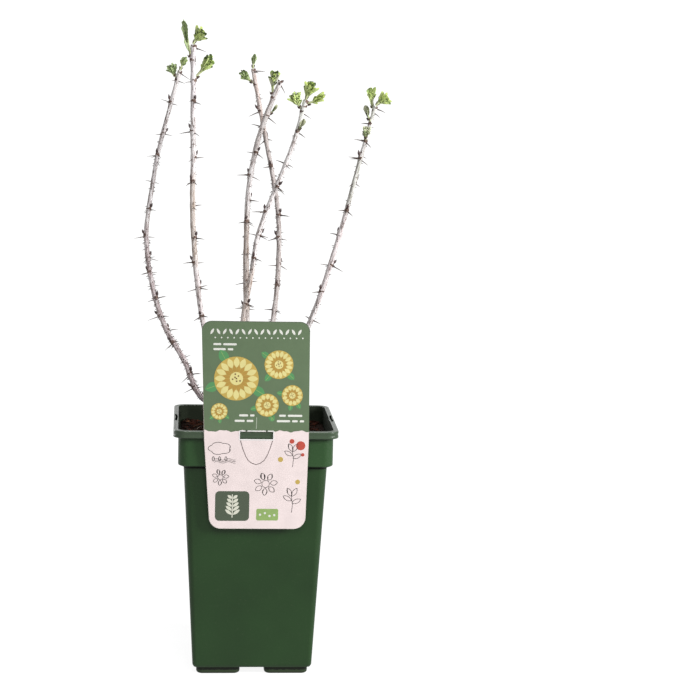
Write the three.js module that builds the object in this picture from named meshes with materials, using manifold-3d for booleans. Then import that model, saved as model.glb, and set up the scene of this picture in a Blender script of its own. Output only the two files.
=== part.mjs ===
// A young gooseberry bush in its square nursery pot, in early spring.
//
// Six arching, thorny canes rise from one short stump in a filled pot, and carry tufts of
// unfolding leaves near their tips. A blank picture card hangs on the front of the pot's rim.
//
// Millimetres, +Z up. The origin is the middle of the pot's underside, on the surface that it
// stands on. The card hangs on the -Y side, and +X is to the right of someone facing the card.

import * as THREE from "three";
import { mergeVertices } from "three/addons/utils/BufferGeometryUtils.js";
import Module from "manifold-3d";

const wasm = await Module();
wasm.setup();

// ------------------------------------------------------------------ driving dimensions

const CLEARANCE = 0.3;                 // between pieces that touch

const POT = {
  height: 232.5,
  rimHalf: 75,                         // half the width across the rim
  rimDepth: 6.8,
  bandHalf: 70.5,                      // half the width across the collar below the rim
  bandDepth: 33.2,
  bodyTopHalf: 65.4,
  bodyFootHalf: 55.2,
  corner: 11,                          // corner radius at the rim
  cornerShrink: 0.35,                  // how much of a narrower width its corner loses
  cornerSteps: 4,
  wall: 1.6,
  floor: 1.8,
  footChamfer: 1.3, footChamferHeight: 2,
  collarChamfer: 0.9, collarSlope: 2.2, // the sloping underside of the collar
  rimRound: 1.1,
  lip: 0.4, lipDrop: 2.2,              // the bevel on the inside of the rim
  innerStepBelow: 2, innerStepAbove: 1, // the step inside, counted from the collar's foot
};

const FOOT = { size: 40.4, height: 7.1, outerHalf: 51.6, corner: 6, cornerSteps: 3, round: 1.4 };
const DRAIN = { radius: 4.5, offset: 31, sides: 8 };
const GRIP_SLOT = { x: 72.5, width: 2.4, length: 33 };

const SOIL = {
  depthBelowRim: 14,
  wallGap: 0.42,                       // square to a sloping wall this leaves the clearance
  rough: 1.3,                          // how far its surface rises and falls
  roughInsets: [6, 20],                // where it does so, counted inwards from the wall
  flatHalf: 24,                        // half the width of the level middle
  edgeDrop: 1,
  seed: 41,
};

const STUMP = {
  x: -6, y: 0,
  height: 30,
  footRadius: 12.5, waistRadius: 8.8, topRadius: 7.4,
  lean: 1.2,                           // how far the top stands over to the left
  flareTop: 0.35,                      // the part of its height that the root flare takes
  flareLobes: 3, flareDepth: 0.14, flareTurn: 1,
  shoulder: 0.85, shoulderDepth: 0.45, // its rounded top
  levels: [0, 0.1, 0.22, 0.35, 0.6, 0.85, 1],
  sides: 12,
};

const CARD = {
  thickness: 0.6,
  topWidth: 97, bendWidth: 94.5, footWidth: 88,
  topCorner: 9, footCorner: 11, cornerSteps: 5,
  top: 333, bend: 225, foot: 141.5,
  topShift: -2, footShift: 2,          // it hangs a little askew
  backLean: 7.5,                       // degrees that the part below the bend leans back
  windowWidth: 30,                     // the rim shows through a window at its own height
  hookWidth: 28, hookDrop: 11,         // a strip folded over the rim above the window
};

// Each cane: its diameters, where its first bud stands (counted along the cane and around it), and
// the way points of its middle line from inside the stump to its tip.
// Each of its tufts of leaves: the height that it grows at (null is the cane's tip), the side of the
// cane (0 is +X, 90 is +Y), how far its shoot leans off the cane, the shoot's length, its leaves
// and their length, and how far they spread.
const CANES = [
  {
    place: "outer_left", footDiameter: 4.9, tipDiameter: 2.9, firstNode: 46, firstTurn: 40, seed: 11,
    bristly: true,
    through: [[-9, 1, 232], [-22, 7, 238], [-50, 20, 249], [-66, 30, 282], [-84, 37, 312], [-97, 44, 352],
              [-103, 49, 400], [-97, 51, 450], [-91, 49, 484], [-73, 46, 554]],
    tufts: [
      { name: "side", up: 547, turn: 180, lean: 26, shoot: 5, leaves: 4, blade: 9.5, fan: 50 },
      { name: "tip", up: null, turn: 0, lean: 8, shoot: 5, leaves: 3, blade: 10, fan: 26 },
    ],
  },
  {
    place: "inner_left", footDiameter: 4.5, tipDiameter: 3, firstNode: 34, firstTurn: 190, seed: 12,
    through: [[-9, -2, 234], [-27, -11, 263], [-49, -22, 325], [-59, -33, 410], [-60, -38, 484],
              [-61, -37, 577]],
    tufts: [
      { name: "top", up: 565, turn: 190, lean: 10, shoot: 24, leaves: 6, blade: 11.5, fan: 22 },
      { name: "tip", up: null, turn: 0, lean: 30, shoot: 6, leaves: 4, blade: 12.5, fan: 50 },
      { name: "side", up: 547, turn: 0, lean: 34, shoot: 16, leaves: 4, blade: 12.5, fan: 42 },
    ],
  },
  {
    place: "middle", footDiameter: 4.4, tipDiameter: 2.8, firstNode: 30, firstTurn: 100, seed: 13,
    through: [[-6.5, 3.5, 240], [-7, 12, 292], [-9, 18, 370], [-8, 19, 440], [-1, 15, 486], [8, 12, 516],
              [20, 10, 546]],
    tufts: [
      { name: "top", up: 532, turn: 180, lean: 14, shoot: 13, leaves: 5, blade: 13, fan: 38 },
      { name: "side", up: 516, turn: 20, lean: 18, shoot: 3.5, leaves: 2, blade: 9.5, fan: 14 },
    ],
  },
  {
    place: "back", footDiameter: 4.4, tipDiameter: 3, firstNode: 32, firstTurn: 10, seed: 14,
    through: [[-3.5, 2.5, 239], [9, 13, 282], [18, 23, 326], [22, 30, 380], [20, 35, 430], [7, 35, 497],
              [-5, 34, 557]],
    tufts: [
      { name: "side", up: 544, turn: 180, lean: 30, shoot: 7, leaves: 3, blade: 10.5, fan: 38 },
      { name: "tip", up: null, turn: 0, lean: 16, shoot: 4.5, leaves: 3, blade: 10.5, fan: 14 },
    ],
  },
  {
    place: "front", footDiameter: 4.4, tipDiameter: 2.9, firstNode: 36, firstTurn: 250, seed: 15,
    through: [[-7.5, -3.5, 240], [-13, -11, 285], [-12, -16, 327], [-5, -19, 370], [2, -23, 412],
              [29, -29, 485], [41, -33, 530]],
    tufts: [
      { name: "left", up: 521, turn: 180, lean: 32, shoot: 7, leaves: 4, blade: 12, fan: 40 },
      { name: "tip", up: null, turn: 0, lean: 6, shoot: 7, leaves: 5, blade: 12.5, fan: 36 },
      { name: "right", up: 526, turn: 0, lean: 44, shoot: 10, leaves: 4, blade: 11, fan: 28 },
      { name: "low", up: 503, turn: 290, lean: 20, shoot: 4, leaves: 2, blade: 10.5, fan: 14 },
    ],
  },
  {
    place: "right", footDiameter: 4.6, tipDiameter: 3.1, firstNode: 33, firstTurn: 330, seed: 16,
    through: [[-2.5, -2.5, 237], [22, -15, 271], [49, -31, 327], [72, -42, 403], [91, -48, 480],
              [103, -50, 526]],
    tufts: [
      { name: "upper", up: 523, turn: 140, lean: 22, shoot: 11, leaves: 4, blade: 11.5, fan: 30 },
      { name: "outer", up: null, turn: 0, lean: 34, shoot: 5, leaves: 4, blade: 11.5, fan: 44 },
      { name: "middle", up: 512, turn: 215, lean: 30, shoot: 6, leaves: 2, blade: 10.5, fan: 12 },
      { name: "low", up: 496, turn: 250, lean: 16, shoot: 4, leaves: 3, blade: 10.5, fan: 34 },
    ],
  },
];
const CANE_SIDES = 6;
const CANE_STEP = 15;                  // length of one straight stretch of a cane

// Buds and thorns stand at nodes, each node turned on from the last one.
const NODE = { gapLeast: 20, gapMost: 30, bristlyGap: 0.6, turn: 144, turnJitter: 14, keepFromTuft: 9 };
const BUD = { length: 4.6, radius: 1.15, girthAt: 0.45, lean: 28, sides: 4, rootAt: 0.7 };
const THORN = {
  length: 8.4, sideLength: 6.4, lengthJitter: 1.3,
  radius: 0.62, girthAt: 0.1, sides: 3,
  rootAt: 0.3,                         // how far out in the cane its root is, as a part of the radius
  sideTurn: 58, sideChance: 0.6,
  droop: 8, droopJitter: 12,
  below: 2.4,                          // how far under the bud it stands
  tuftHalfWidth: 0.3, tuftClearance: 1, // it is left off where a tuft's leaves would touch it
};

// A tuft's shoot, and the stretch of it that bears leaves.
const SHOOT = {
  footRadius: 1.2, tipRadius: 0.6, sides: 5,
  lowestLeaf: 0.45, highestLeaf: 0.95,
  seed: 70,
};

// One side of a young gooseberry leaf: how far up the blade and how far out from its midrib each
// point lies, as parts of the blade's length, and how far it stands out of the blade's plane.
const LEAF = {
  side: [
    { up: 0, out: 0.05, raise: 0 },
    { up: 0.3, out: 0.08, raise: 0 },
    { up: 0.66, out: 0.42, raise: 0.06 },
    { up: 0.76, out: 0.2, raise: -0.05 },
  ],
  middle: 0.56,
  thickness: 0.055,
  fold: 38, foldJitter: 16,            // degrees that each half is folded up towards the shoot
  shrink: 0.18, lengthJitter: 0.08,    // how much smaller the youngest leaf is than the oldest
  upright: 0.75,                       // how much less the youngest leaf spreads than the oldest
  spreadJitter: 5,
  turn: 137.5, turnJitter: 15,
  ownSpaceMargin: 0.5,
};

const UP = new THREE.Vector3(0, 0, 1);
const AWAY = new THREE.Vector3(0, 1, 0);
const radians = THREE.MathUtils.degToRad;

// ------------------------------------------------------------------ seeded chance

// A small linear congruential generator, so that the bush grows the same way every time.
class Dice {
  constructor(seed) {
    this.state = Math.imul(seed + 1, 2654435761) >>> 0;
  }

  next() {
    this.state = (Math.imul(this.state, 1664525) + 1013904223) >>> 0;
    return this.state / 4294967296;
  }

  between(low, high) {
    return low + (high - low) * this.next();
  }
}

// ------------------------------------------------------------------ solids

function toManifold(geometry) {
  const bare = geometry.clone();
  bare.deleteAttribute("normal");
  bare.deleteAttribute("uv");
  const merged = mergeVertices(bare, 1e-4);
  const mesh = new wasm.Mesh({
    numProp: 3,
    vertProperties: new Float32Array(merged.attributes.position.array),
    triVerts: new Uint32Array(merged.index.array),
  });
  return new wasm.Manifold(mesh);
}

function toGeometry(solid) {
  const mesh = solid.getMesh();
  const geometry = new THREE.BufferGeometry();
  geometry.setAttribute("position", new THREE.BufferAttribute(new Float32Array(mesh.vertProperties), 3));
  geometry.setIndex(new THREE.BufferAttribute(new Uint32Array(mesh.triVerts), 1));
  geometry.computeVertexNormals();
  return geometry;
}

function joinAll(solids) {
  return solids.reduce((whole, solid) => whole.add(solid));
}

// The outer skin of the largest body: any hollow sealed inside it is filled.
function outerBody(solid) {
  return solid.decompose().reduce((largest, body) => (body.volume() > largest.volume() ? body : largest));
}

// Skins a row of closed rings with equally many points, and closes both ends with a fan.
// Seen against the direction of the row, each ring runs anticlockwise.
function loft(rings) {
  const count = rings[0].length;
  const points = rings.flat();
  const first = points.length;
  const middle = ring => ring.reduce((sum, p) => sum.add(p), new THREE.Vector3()).divideScalar(count);
  points.push(middle(rings[0]), middle(rings[rings.length - 1]));
  const faces = [];
  for (let row = 0; row + 1 < rings.length; row += 1) {
    for (let i = 0; i < count; i += 1) {
      const next = (i + 1) % count;
      const a = row * count;
      const b = a + count;
      faces.push(a + i, a + next, b + next, a + i, b + next, b + i);
    }
  }
  const last = (rings.length - 1) * count;
  for (let i = 0; i < count; i += 1) {
    const next = (i + 1) % count;
    faces.push(first, next, i, first + 1, last + i, last + next);
  }
  const geometry = new THREE.BufferGeometry().setFromPoints(points);
  geometry.setIndex(faces);
  return toManifold(geometry);
}

function roundedSquare(half, corner, z, steps, x = 0, y = 0) {
  const ring = [];
  for (let side = 0; side < 4; side += 1) {
    const start = (side * Math.PI) / 2;
    const out = (half - corner) * Math.SQRT2;
    const cx = x + out * Math.cos(start + Math.PI / 4);
    const cy = y + out * Math.sin(start + Math.PI / 4);
    for (let i = 0; i <= steps; i += 1) {
      const angle = start + (i / steps) * (Math.PI / 2);
      ring.push(new THREE.Vector3(cx + corner * Math.cos(angle), cy + corner * Math.sin(angle), z));
    }
  }
  return ring;
}

function circleRing(centre, radius, sides, across, behind) {
  const ring = [];
  for (let i = 0; i < sides; i += 1) {
    const angle = (i / sides) * 2 * Math.PI;
    ring.push(centre.clone()
      .addScaledVector(across, radius * Math.cos(angle))
      .addScaledVector(behind, radius * Math.sin(angle)));
  }
  return ring;
}

function box(width, depth, height, x, y, z) {
  return toManifold(new THREE.BoxGeometry(width, depth, height).translate(x, y, z));
}

// The two directions across a limb: to the right and away, for a limb that points up.
function acrossLimb(direction) {
  const across = new THREE.Vector3().crossVectors(AWAY, direction).normalize();
  const behind = new THREE.Vector3().crossVectors(direction, across).normalize();
  return { across, behind };
}

function outwardFrom(direction, degrees) {
  const { across, behind } = acrossLimb(direction);
  return across.multiplyScalar(Math.cos(radians(degrees)))
    .addScaledVector(behind, Math.sin(radians(degrees)));
}

// A thorn, bud or shoot: a straight limb with a radius at each end of it.
function straightLimb(foot, direction, length, footRadius, tipRadius, sides) {
  const { across, behind } = acrossLimb(direction);
  const tip = foot.clone().addScaledVector(direction, length);
  return loft([
    circleRing(foot, footRadius, sides, across, behind),
    circleRing(tip, tipRadius, sides, across, behind),
  ]);
}

// A solid that comes to a point at both ends, with its girth at a part of its length.
function spindle(foot, direction, length, radius, girthAt, sides) {
  const { across, behind } = acrossLimb(direction);
  const girth = foot.clone().addScaledVector(direction, length * girthAt);
  const ring = circleRing(girth, radius, sides, across, behind);
  const tip = foot.clone().addScaledVector(direction, length);
  const faces = [];
  for (let i = 0; i < sides; i += 1) {
    const next = (i + 1) % sides;
    faces.push(sides, next, i, sides + 1, i, next);
  }
  const geometry = new THREE.BufferGeometry().setFromPoints([...ring, foot, tip]);
  geometry.setIndex(faces);
  return toManifold(geometry);
}

// ------------------------------------------------------------------ pot

function potCorner(half) {
  return POT.corner - POT.cornerShrink * (POT.rimHalf - half);
}

function potRing(half, z) {
  return roundedSquare(half, potCorner(half), z, POT.cornerSteps);
}

const POT_FLOOR = FOOT.height + POT.floor;
const BAND_FOOT = POT.height - POT.bandDepth;
const INNER_STEP_LOW = BAND_FOOT - POT.innerStepBelow;
const INNER_STEP_HIGH = BAND_FOOT + POT.innerStepAbove;
const INNER_BAND_HALF = POT.bandHalf - POT.wall;

// Half the width inside the pot, below its step.
function potInnerHalf(z) {
  const part = (z - POT_FLOOR) / (INNER_STEP_LOW - POT_FLOOR);
  return POT.bodyFootHalf + part * (POT.bodyTopHalf - POT.bodyFootHalf) - POT.wall;
}

function makePotShell() {
  const rimFoot = POT.height - POT.rimDepth;
  return loft([
    potRing(POT.bodyFootHalf - POT.footChamfer, FOOT.height),
    potRing(POT.bodyFootHalf, FOOT.height + POT.footChamferHeight),
    potRing(POT.bodyTopHalf, BAND_FOOT - POT.collarSlope),
    potRing(POT.bandHalf - POT.collarChamfer, BAND_FOOT),
    potRing(POT.bandHalf, BAND_FOOT + POT.collarChamfer),
    potRing(POT.bandHalf, rimFoot),
    potRing(POT.rimHalf - POT.rimRound, rimFoot),
    potRing(POT.rimHalf, rimFoot + POT.rimRound),
    potRing(POT.rimHalf, POT.height - POT.rimRound),
    potRing(POT.rimHalf - POT.rimRound, POT.height),
    potRing(POT.bandHalf + POT.lip, POT.height),
    potRing(INNER_BAND_HALF, POT.height - POT.lipDrop),
    potRing(INNER_BAND_HALF, INNER_STEP_HIGH),
    potRing(potInnerHalf(INNER_STEP_LOW), INNER_STEP_LOW),
    potRing(potInnerHalf(POT_FLOOR), POT_FLOOR),
  ]);
}

function footPlaces() {
  const offset = FOOT.outerHalf - FOOT.size / 2;
  return [[-offset, -offset], [offset, -offset], [offset, offset], [-offset, offset]];
}

function makeFoot(x, y) {
  const half = FOOT.size / 2;
  const sunk = POT.floor / 3;
  return loft([
    roundedSquare(half - FOOT.round, FOOT.corner - FOOT.round, 0, FOOT.cornerSteps, x, y),
    roundedSquare(half, FOOT.corner, FOOT.round, FOOT.cornerSteps, x, y),
    roundedSquare(half, FOOT.corner, FOOT.height + sunk, FOOT.cornerSteps, x, y),
  ]);
}

function makePot() {
  const pocketSize = FOOT.size - 2 * POT.wall;
  const pocketHeight = FOOT.height + POT.floor / 3;
  let pot = joinAll([makePotShell(), ...footPlaces().map(([x, y]) => makeFoot(x, y))]);
  for (const [x, y] of footPlaces()) {
    pot = pot.subtract(box(pocketSize, pocketSize, pocketHeight, x, y, POT.floor + pocketHeight / 2));
  }
  const drains = [[0, 0], [DRAIN.offset, 0], [-DRAIN.offset, 0], [0, DRAIN.offset], [0, -DRAIN.offset]];
  for (const [x, y] of drains) {
    const drain = new THREE.CylinderGeometry(DRAIN.radius, DRAIN.radius, 3 * POT.floor, DRAIN.sides);
    pot = pot.subtract(toManifold(drain.rotateX(Math.PI / 2).translate(x, y, FOOT.height + POT.floor / 2)));
  }
  for (const side of [-1, 1]) {
    pot = pot.subtract(box(GRIP_SLOT.width, GRIP_SLOT.length, 3 * POT.rimDepth,
      side * GRIP_SLOT.x, 0, POT.height));
  }
  return pot;
}

// ------------------------------------------------------------------ soil

const SOIL_TOP = POT.height - SOIL.depthBelowRim;

function makeSoil() {
  const dice = new Dice(SOIL.seed);
  const fitting = z => potRing(potInnerHalf(z) - SOIL.wallGap, z);
  const topHalf = INNER_BAND_HALF - SOIL.wallGap;
  const uneven = inset => potRing(topHalf - inset, SOIL_TOP).map(point => {
    point.z += dice.between(-SOIL.rough, SOIL.rough);
    return point;
  });
  let soil = loft([
    fitting(POT_FLOOR + CLEARANCE),
    fitting(INNER_STEP_LOW),
    potRing(topHalf, INNER_STEP_HIGH + 2 * CLEARANCE),
    potRing(topHalf, SOIL_TOP - SOIL.edgeDrop),
    ...SOIL.roughInsets.map(uneven),
    potRing(SOIL.flatHalf, SOIL_TOP),
  ]);
  const plugSize = FOOT.size - 2 * POT.wall - 2 * CLEARANCE;
  const plugHeight = FOOT.height + CLEARANCE;
  for (const [x, y] of footPlaces()) {
    soil = soil.add(box(plugSize, plugSize, plugHeight, x, y, POT.floor + CLEARANCE + plugHeight / 2));
  }
  return soil;
}

// ------------------------------------------------------------------ stump

function stumpRing(part, grow) {
  const foot = SOIL_TOP + CLEARANCE;
  const flare = Math.max(0, 1 - part / STUMP.flareTop) ** 2;
  const above = Math.max(0, part - STUMP.flareTop) / (1 - STUMP.flareTop);
  const radius = STUMP.waistRadius + flare * (STUMP.footRadius - STUMP.waistRadius)
    + above * (STUMP.topRadius - STUMP.waistRadius);
  const shoulder = 1 - STUMP.shoulderDepth * Math.max(0, part - STUMP.shoulder) / (1 - STUMP.shoulder);
  const ring = [];
  for (let i = 0; i < STUMP.sides; i += 1) {
    const angle = (i / STUMP.sides) * 2 * Math.PI;
    const lobe = 1 + STUMP.flareDepth * flare * Math.cos(STUMP.flareLobes * angle + STUMP.flareTurn);
    const reach = radius * shoulder * lobe + grow;
    ring.push(new THREE.Vector3(
      STUMP.x - STUMP.lean * part + reach * Math.cos(angle),
      STUMP.y + reach * Math.sin(angle),
      foot + STUMP.height * part + (part === 1 ? grow : 0),
    ));
  }
  return ring;
}

function makeStump(grow = 0) {
  return loft(STUMP.levels.map(part => stumpRing(part, grow)));
}

// ------------------------------------------------------------------ canes

// A cane's middle line as a smooth curve, with its length measured in fine steps.
class Cane {
  constructor(size) {
    Object.assign(this, size);
    this.curve = new THREE.CatmullRomCurve3(
      size.through.map(point => new THREE.Vector3(...point)), false, "catmullrom", 0.5);
    this.length = this.curve.getLength();
    const steps = Math.round(this.length / CANE_STEP);
    this.line = Array.from({ length: steps + 1 }, (_, i) => this.at(i * (this.length / steps)));
  }

  // The point, direction and radius at a distance along the cane.
  at(distance) {
    const part = distance / this.length;
    const point = this.curve.getPointAt(part);
    const direction = this.curve.getTangentAt(part);
    const diameter = this.footDiameter + part * (this.tipDiameter - this.footDiameter);
    return { point, direction, radius: diameter / 2 };
  }

  // The distance along the cane at which it reaches a height.
  distanceAtHeight(height) {
    let low = 0;
    let high = this.length;
    while (high - low > 0.01) {
      const middle = (low + high) / 2;
      if (this.at(middle).point.z < height) {
        low = middle;
      } else {
        high = middle;
      }
    }
    return low;
  }
}

const canes = CANES.map(size => new Cane(size));

function distanceToSegment(point, from, to) {
  return new THREE.Line3(from, to).closestPointToPoint(point, true, new THREE.Vector3()).distanceTo(point);
}

function distanceToCane(point, cane) {
  let least = Infinity;
  for (let i = 0; i + 1 < cane.line.length; i += 1) {
    least = Math.min(least, distanceToSegment(point, cane.line[i].point, cane.line[i + 1].point));
  }
  return least;
}

// Where a tuft's shoot starts and which way it grows, with its foot just clear of the cane.
function placeTuft(cane, tuft) {
  const atTip = tuft.up === null;
  const distance = atTip ? cane.length : cane.distanceAtHeight(tuft.up);
  const { point, direction, radius } = cane.at(distance);
  const outward = outwardFrom(direction, tuft.turn);
  const axis = direction.clone().multiplyScalar(Math.cos(radians(tuft.lean)))
    .addScaledVector(outward, Math.sin(radians(tuft.lean)));
  const foot = point.clone();
  if (atTip) {
    foot.addScaledVector(direction, CLEARANCE + SHOOT.footRadius * Math.sin(radians(tuft.lean)));
  } else {
    foot.addScaledVector(outward, radius + CLEARANCE + SHOOT.footRadius * Math.cos(radians(tuft.lean)));
  }
  const tip = foot.clone().addScaledVector(axis, tuft.shoot + tuft.blade);
  return { ...tuft, cane, distance, foot, axis, tip };
}

const tufts = canes.flatMap(cane => cane.tufts.map(tuft => placeTuft(cane, tuft)));

// The buds' places on a cane: evenly turned nodes up to its lowest tuft, then one under each tuft.
function nodesOf(cane) {
  const dice = new Dice(cane.seed);
  const own = tufts.filter(tuft => tuft.cane === cane);
  const lowestTuft = Math.min(...own.map(tuft => tuft.distance));
  const nodes = [];
  let distance = cane.firstNode;
  let turn = cane.firstTurn;
  while (distance < lowestTuft - NODE.keepFromTuft) {
    nodes.push({ distance, turn, bud: true });
    const bristly = cane.bristly && distance < cane.length / 2;
    distance += dice.between(NODE.gapLeast, NODE.gapMost) * (bristly ? NODE.bristlyGap : 1);
    turn += NODE.turn + dice.between(-NODE.turnJitter, NODE.turnJitter);
  }
  for (const tuft of own) {
    nodes.push({ distance: tuft.distance, turn: tuft.turn, bud: false });
  }
  return nodes;
}

function clearOfTufts(from, to) {
  return tufts.every(tuft => [0.4, 0.7, 1].every(part => {
    const point = from.clone().lerp(to, part);
    const room = tuft.blade * THORN.tuftHalfWidth + THORN.tuftClearance;
    return distanceToSegment(point, tuft.foot, tuft.tip) > room;
  }));
}

function makeThorn(cane, distance, turn, length, droop) {
  const { point, direction, radius } = cane.at(distance);
  const outward = outwardFrom(direction, turn);
  const way = outward.clone().multiplyScalar(Math.cos(radians(droop)))
    .addScaledVector(direction, -Math.sin(radians(droop)));
  const foot = point.clone().addScaledVector(way, radius * THORN.rootAt);
  const tip = point.clone().addScaledVector(way, radius + length);
  if (!clearOfTufts(foot, tip)) {
    return null;
  }
  return spindle(foot, way, foot.distanceTo(tip), THORN.radius, THORN.girthAt, THORN.sides);
}

function makeBud(cane, distance, turn) {
  const { point, direction, radius } = cane.at(distance);
  const outward = outwardFrom(direction, turn);
  const way = direction.clone().multiplyScalar(Math.cos(radians(BUD.lean)))
    .addScaledVector(outward, Math.sin(radians(BUD.lean)));
  const foot = point.clone().addScaledVector(outward, radius * BUD.rootAt);
  return spindle(foot, way, BUD.length, BUD.radius, BUD.girthAt, BUD.sides);
}

function makeCane(cane, stumpSpace) {
  const dice = new Dice(cane.seed + 100);
  const rings = cane.line.map(({ point, direction, radius }) => {
    const { across, behind } = acrossLimb(direction);
    return circleRing(point, radius, CANE_SIDES, across, behind);
  });
  const pieces = [loft(rings).subtract(stumpSpace)];
  for (const node of nodesOf(cane)) {
    if (node.bud) {
      pieces.push(makeBud(cane, node.distance, node.turn));
    }
    const below = Math.max(0, node.distance - THORN.below);
    const thorns = [{ turn: 0, length: THORN.length }];
    for (const side of [-1, 1]) {
      if (dice.next() < THORN.sideChance) {
        thorns.push({ turn: side * THORN.sideTurn, length: THORN.sideLength });
      }
    }
    for (const thorn of thorns) {
      const length = thorn.length + dice.between(-THORN.lengthJitter, THORN.lengthJitter);
      const droop = THORN.droop + dice.between(-THORN.droopJitter, THORN.droopJitter);
      const solid = makeThorn(cane, below, node.turn + thorn.turn, length, droop);
      if (solid) {
        pieces.push(solid);
      }
    }
  }
  return outerBody(joinAll(pieces));
}

// ------------------------------------------------------------------ leaves

// A folded, lobed blade: one outline, with a point above and a point below its middle.
function leafPoints(root, way, face, length, fold) {
  const across = new THREE.Vector3().crossVectors(way, face).normalize();
  const place = (up, out, raise) => root.clone()
    .addScaledVector(way, up * length)
    .addScaledVector(across, out * Math.cos(radians(fold)) * length)
    .addScaledVector(face, (Math.abs(out) * Math.sin(radians(fold)) + raise) * length);
  const right = LEAF.side.map(point => place(point.up, point.out, point.raise));
  const left = LEAF.side.map(point => place(point.up, -point.out, point.raise)).reverse();
  const outline = [...right, place(1, 0, 0), ...left];
  const above = place(LEAF.middle, 0, LEAF.thickness / 2);
  const below = place(LEAF.middle, 0, -LEAF.thickness / 2);
  return { outline, above, below };
}

function makeLeaf({ outline, above, below }) {
  const count = outline.length;
  const faces = [];
  for (let i = 0; i < count; i += 1) {
    const next = (i + 1) % count;
    faces.push(count, i, next, count + 1, next, i);
  }
  const geometry = new THREE.BufferGeometry().setFromPoints([...outline, above, below]);
  geometry.setIndex(faces);
  return toManifold(geometry);
}

// A leaf may grow where it is nearer to its own shoot than to any other, and clear of the canes.
function hasRoom(points, tuft) {
  return points.every(point => {
    const own = distanceToSegment(point, tuft.foot, tuft.tip);
    const nearer = tufts.some(other => other !== tuft
      && distanceToSegment(point, other.foot, other.tip) < own + LEAF.ownSpaceMargin);
    const touching = canes.some(cane => distanceToCane(point, cane) < cane.footDiameter / 2 + 2 * CLEARANCE);
    return !nearer && !touching;
  });
}

function makeTuft(tuft, index) {
  const dice = new Dice(SHOOT.seed + index);
  const { footRadius, tipRadius, sides } = SHOOT;
  const pieces = [straightLimb(tuft.foot, tuft.axis, tuft.shoot, footRadius, tipRadius, sides)];
  for (let k = 0; k < tuft.leaves; k += 1) {
    const part = k / (tuft.leaves - 1);
    const turn = tuft.turn + k * LEAF.turn + dice.between(-LEAF.turnJitter, LEAF.turnJitter);
    const spread = tuft.fan * (1 - LEAF.upright * part) + dice.between(-LEAF.spreadJitter, LEAF.spreadJitter);
    const size = 1 - LEAF.shrink * part + dice.between(-LEAF.lengthJitter, LEAF.lengthJitter);
    const fold = LEAF.fold + dice.between(-LEAF.foldJitter, LEAF.foldJitter);
    const rootAt = tuft.shoot * (SHOOT.lowestLeaf + part * (SHOOT.highestLeaf - SHOOT.lowestLeaf));
    const side = outwardFrom(tuft.axis, turn);
    const way = tuft.axis.clone().multiplyScalar(Math.cos(radians(spread)))
      .addScaledVector(side, Math.sin(radians(spread)));
    const face = tuft.axis.clone().multiplyScalar(Math.sin(radians(spread)))
      .addScaledVector(side, -Math.cos(radians(spread)));
    const root = tuft.foot.clone().addScaledVector(tuft.axis, rootAt);
    const points = leafPoints(root, way, face, tuft.blade * size, fold);
    if (hasRoom(points.outline.slice(2, -2), tuft)) {
      pieces.push(makeLeaf(points));
    }
  }
  return outerBody(joinAll(pieces));
}

// ------------------------------------------------------------------ picture card

function cardOutline() {
  const shape = new THREE.Shape();
  const bend = CARD.bendWidth / 2;
  const topLeft = CARD.topShift - CARD.topWidth / 2;
  const topRight = CARD.topShift + CARD.topWidth / 2;
  const footLeft = CARD.footShift - CARD.footWidth / 2;
  const footRight = CARD.footShift + CARD.footWidth / 2;
  shape.moveTo(bend, CARD.bend);
  shape.lineTo(topRight, CARD.top - CARD.topCorner);
  shape.quadraticCurveTo(topRight, CARD.top, topRight - CARD.topCorner, CARD.top);
  shape.lineTo(topLeft + CARD.topCorner, CARD.top);
  shape.quadraticCurveTo(topLeft, CARD.top, topLeft, CARD.top - CARD.topCorner);
  shape.lineTo(-bend, CARD.bend);
  shape.lineTo(footLeft, CARD.foot + CARD.footCorner);
  shape.quadraticCurveTo(footLeft, CARD.foot, footLeft + CARD.footCorner, CARD.foot);
  shape.lineTo(footRight - CARD.footCorner, CARD.foot);
  shape.quadraticCurveTo(footRight, CARD.foot, footRight, CARD.foot + CARD.footCorner);
  shape.closePath();
  const window = new THREE.Path();
  const half = CARD.windowWidth / 2;
  const windowTop = POT.height + CLEARANCE;
  const windowFoot = POT.height - POT.rimDepth;
  window.moveTo(-half, windowFoot);
  window.lineTo(-half, windowTop);
  window.lineTo(half, windowTop);
  window.lineTo(half, windowFoot);
  window.closePath();
  shape.holes.push(window);
  return shape;
}

// Extrudes a profile drawn in Y and Z along X, over a width centred on X = 0.
function extrudeAcross(profile, width) {
  const shape = new THREE.Shape(profile.map(([y, z]) => new THREE.Vector2(y, z)));
  const geometry = new THREE.ExtrudeGeometry(shape, { depth: width, bevelEnabled: false });
  geometry.translate(0, 0, -width / 2);
  geometry.applyMatrix4(new THREE.Matrix4().makeBasis(AWAY, UP, new THREE.Vector3(1, 0, 0)));
  return toManifold(geometry);
}

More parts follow.
